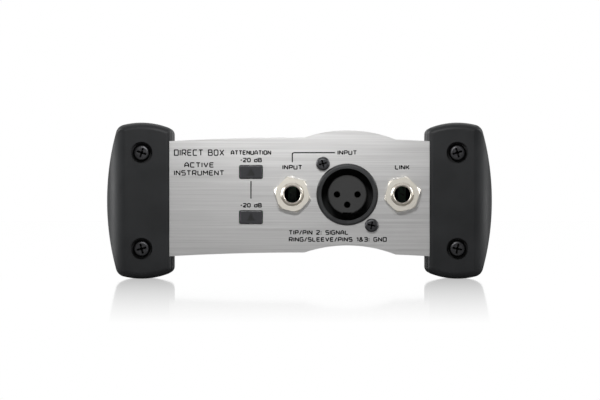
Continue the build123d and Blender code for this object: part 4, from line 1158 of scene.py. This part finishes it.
@dataclass
class Studio:
    """A white sweep with a faint reflection, soft lights and a level camera in front."""

    view_width: float = 233.5  # millimetres across the picture at the input panel
    distance: float = 7.3
    sensor: float = 36.0
    clip: Point = (0.1, 60.0)
    shift_x: float = 0.2  # the camera's place from the box's middle, in millimetres
    shift_z: float = 0.25
    floor_size: float = 40.0
    floor_grey: Colour = grey(0.3)  # as the light sees it
    gleam: float = 0.52  # the floor's reflection beside the object
    gleam_reach: float = 2.7  # metres in front of the object at which it has faded
    back_reach: float = 0.1  # metres behind the object's middle at which it is weakest
    back_gleam: float = 0.15  # share of it that is left there
    front_light: float = 0.11  # the sky's level towards -Y
    back_light: float = 0.85  # and towards +Y
    low_light: float = 0.5  # share of it below the horizon
    horizon: float = 0.03  # half the height of the white band behind the object

    def camera(self) -> None:
        """Places the camera level with the middle of the box."""
        low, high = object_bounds()
        data = bpy.data.cameras.new("camera")
        data.sensor_width = self.sensor
        data.lens = self.sensor * self.distance / (self.view_width * MM)
        data.clip_start, data.clip_end = self.clip
        camera = bpy.data.objects.new("camera", data)
        height = (low.z + high.z) / 2 + self.shift_z * MM
        camera.location = (self.shift_x * MM, low.y - self.distance, height)
        camera.rotation_euler = (math.pi / 2, 0, 0)
        bpy.context.scene.collection.objects.link(camera)
        bpy.context.scene.camera = camera

    def floor(self) -> None:
        """Lays a white floor whose weak mirror fades with the distance in front of the object."""
        bpy.ops.mesh.primitive_plane_add(size=self.floor_size, location=(0, 0, 0))
        floor = bpy.context.object
        floor.name = "studio_floor"
        material = bpy.data.materials.new("studio_white")
        material.use_nodes = True
        tree = Tree(material.node_tree)
        along = tree.add("SeparateXYZ", Vector=tree.add("TexCoord").outputs["Object"]).outputs[1]
        ahead = tree.span(along, -self.gleam_reach, 0.0, 0.0, self.gleam)
        behind = tree.span(along, 0.0, self.back_reach, 1.0, self.back_gleam)
        grazing = tree.add("Fresnel", IOR=1.4).outputs[0]
        fade = tree.times(tree.times(ahead, behind), grazing)
        glow = tree.add("Emission", Color=(1, 1, 1, 1), Strength=1.0).outputs[0]
        matt = tree.add("BsdfDiffuse", Color=(*self.floor_grey, 1)).outputs[0]
        gloss = tree.add("BsdfGlossy", Color=(1, 1, 1, 1), Roughness=0.02).outputs[0]
        sheen = tree.add("MixShader", i0=fade, i1=glow, i2=gloss).outputs[0]
        seen = tree.add("LightPath").outputs["Is Camera Ray"]
        surface = tree.add("MixShader", i0=seen, i1=matt, i2=sheen).outputs[0]
        tree.add("OutputMaterial", Surface=surface)
        floor.data.materials.append(material)
        floor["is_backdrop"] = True

    def world(self) -> None:
        """Sets a white background for the camera and the horizon, and a soft gradient for the light."""
        world = bpy.data.worlds.new("studio")
        bpy.context.scene.world = world
        world.use_nodes = True
        tree = Tree(world.node_tree)
        way = tree.add("TexCoord").outputs["Generated"]
        parts = tree.add("SeparateXYZ", Vector=way)
        rise = parts.outputs[2]
        facing = tree.span(parts.outputs[1], -1.0, 0.1, self.front_light, self.back_light)
        ramp = tree.times(facing, tree.span(rise, -0.6, 0.2, self.low_light, 1.0))
        behind = tree.math("GREATER_THAN", parts.outputs[1], 0.0)
        band = tree.math("LESS_THAN", tree.math("ABSOLUTE", rise), self.horizon)
        camera_ray = tree.add("LightPath").outputs["Is Camera Ray"]
        seen = tree.math("MAXIMUM", camera_ray, tree.times(band, behind))
        level = tree.math("ADD", tree.times(ramp, tree.math("SUBTRACT", 1.0, seen)), seen)
        background = tree.add("Background", Color=(1, 1, 1, 1), Strength=level)
        tree.add("OutputWorld", Surface=background.outputs[0])

    def build(self) -> None:
        """Builds the whole studio."""
        bpy.context.scene.view_settings.view_transform = "Standard"
        self.camera()
        self.floor()
        self.world()
        for lamp in LAMPS:
            lamp.build()


def main() -> None:
    """Builds the studio and every sub-assembly."""
    logging.basicConfig(level=logging.INFO, format="%(message)s")
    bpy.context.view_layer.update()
    Studio().build()
    casing = Casing()
    casing.dress()
    casing.front_printing()
    casing.rear_printing()
    for name in ("input", "link"):
        jack = Jack(name)
        jack.dress()
        jack.bushing()
    Sockets().dress()
    switches = PushSwitches()
    switches.dress()
    for name in switches.names:
        switches.coil(name)
        switches.mark(name)
    electronics = Electronics()
    electronics.dress()
    electronics.winding()
    electronics.capacitor_tops()
    electronics.chip_legs()


if __name__ == "__main__":
    main()
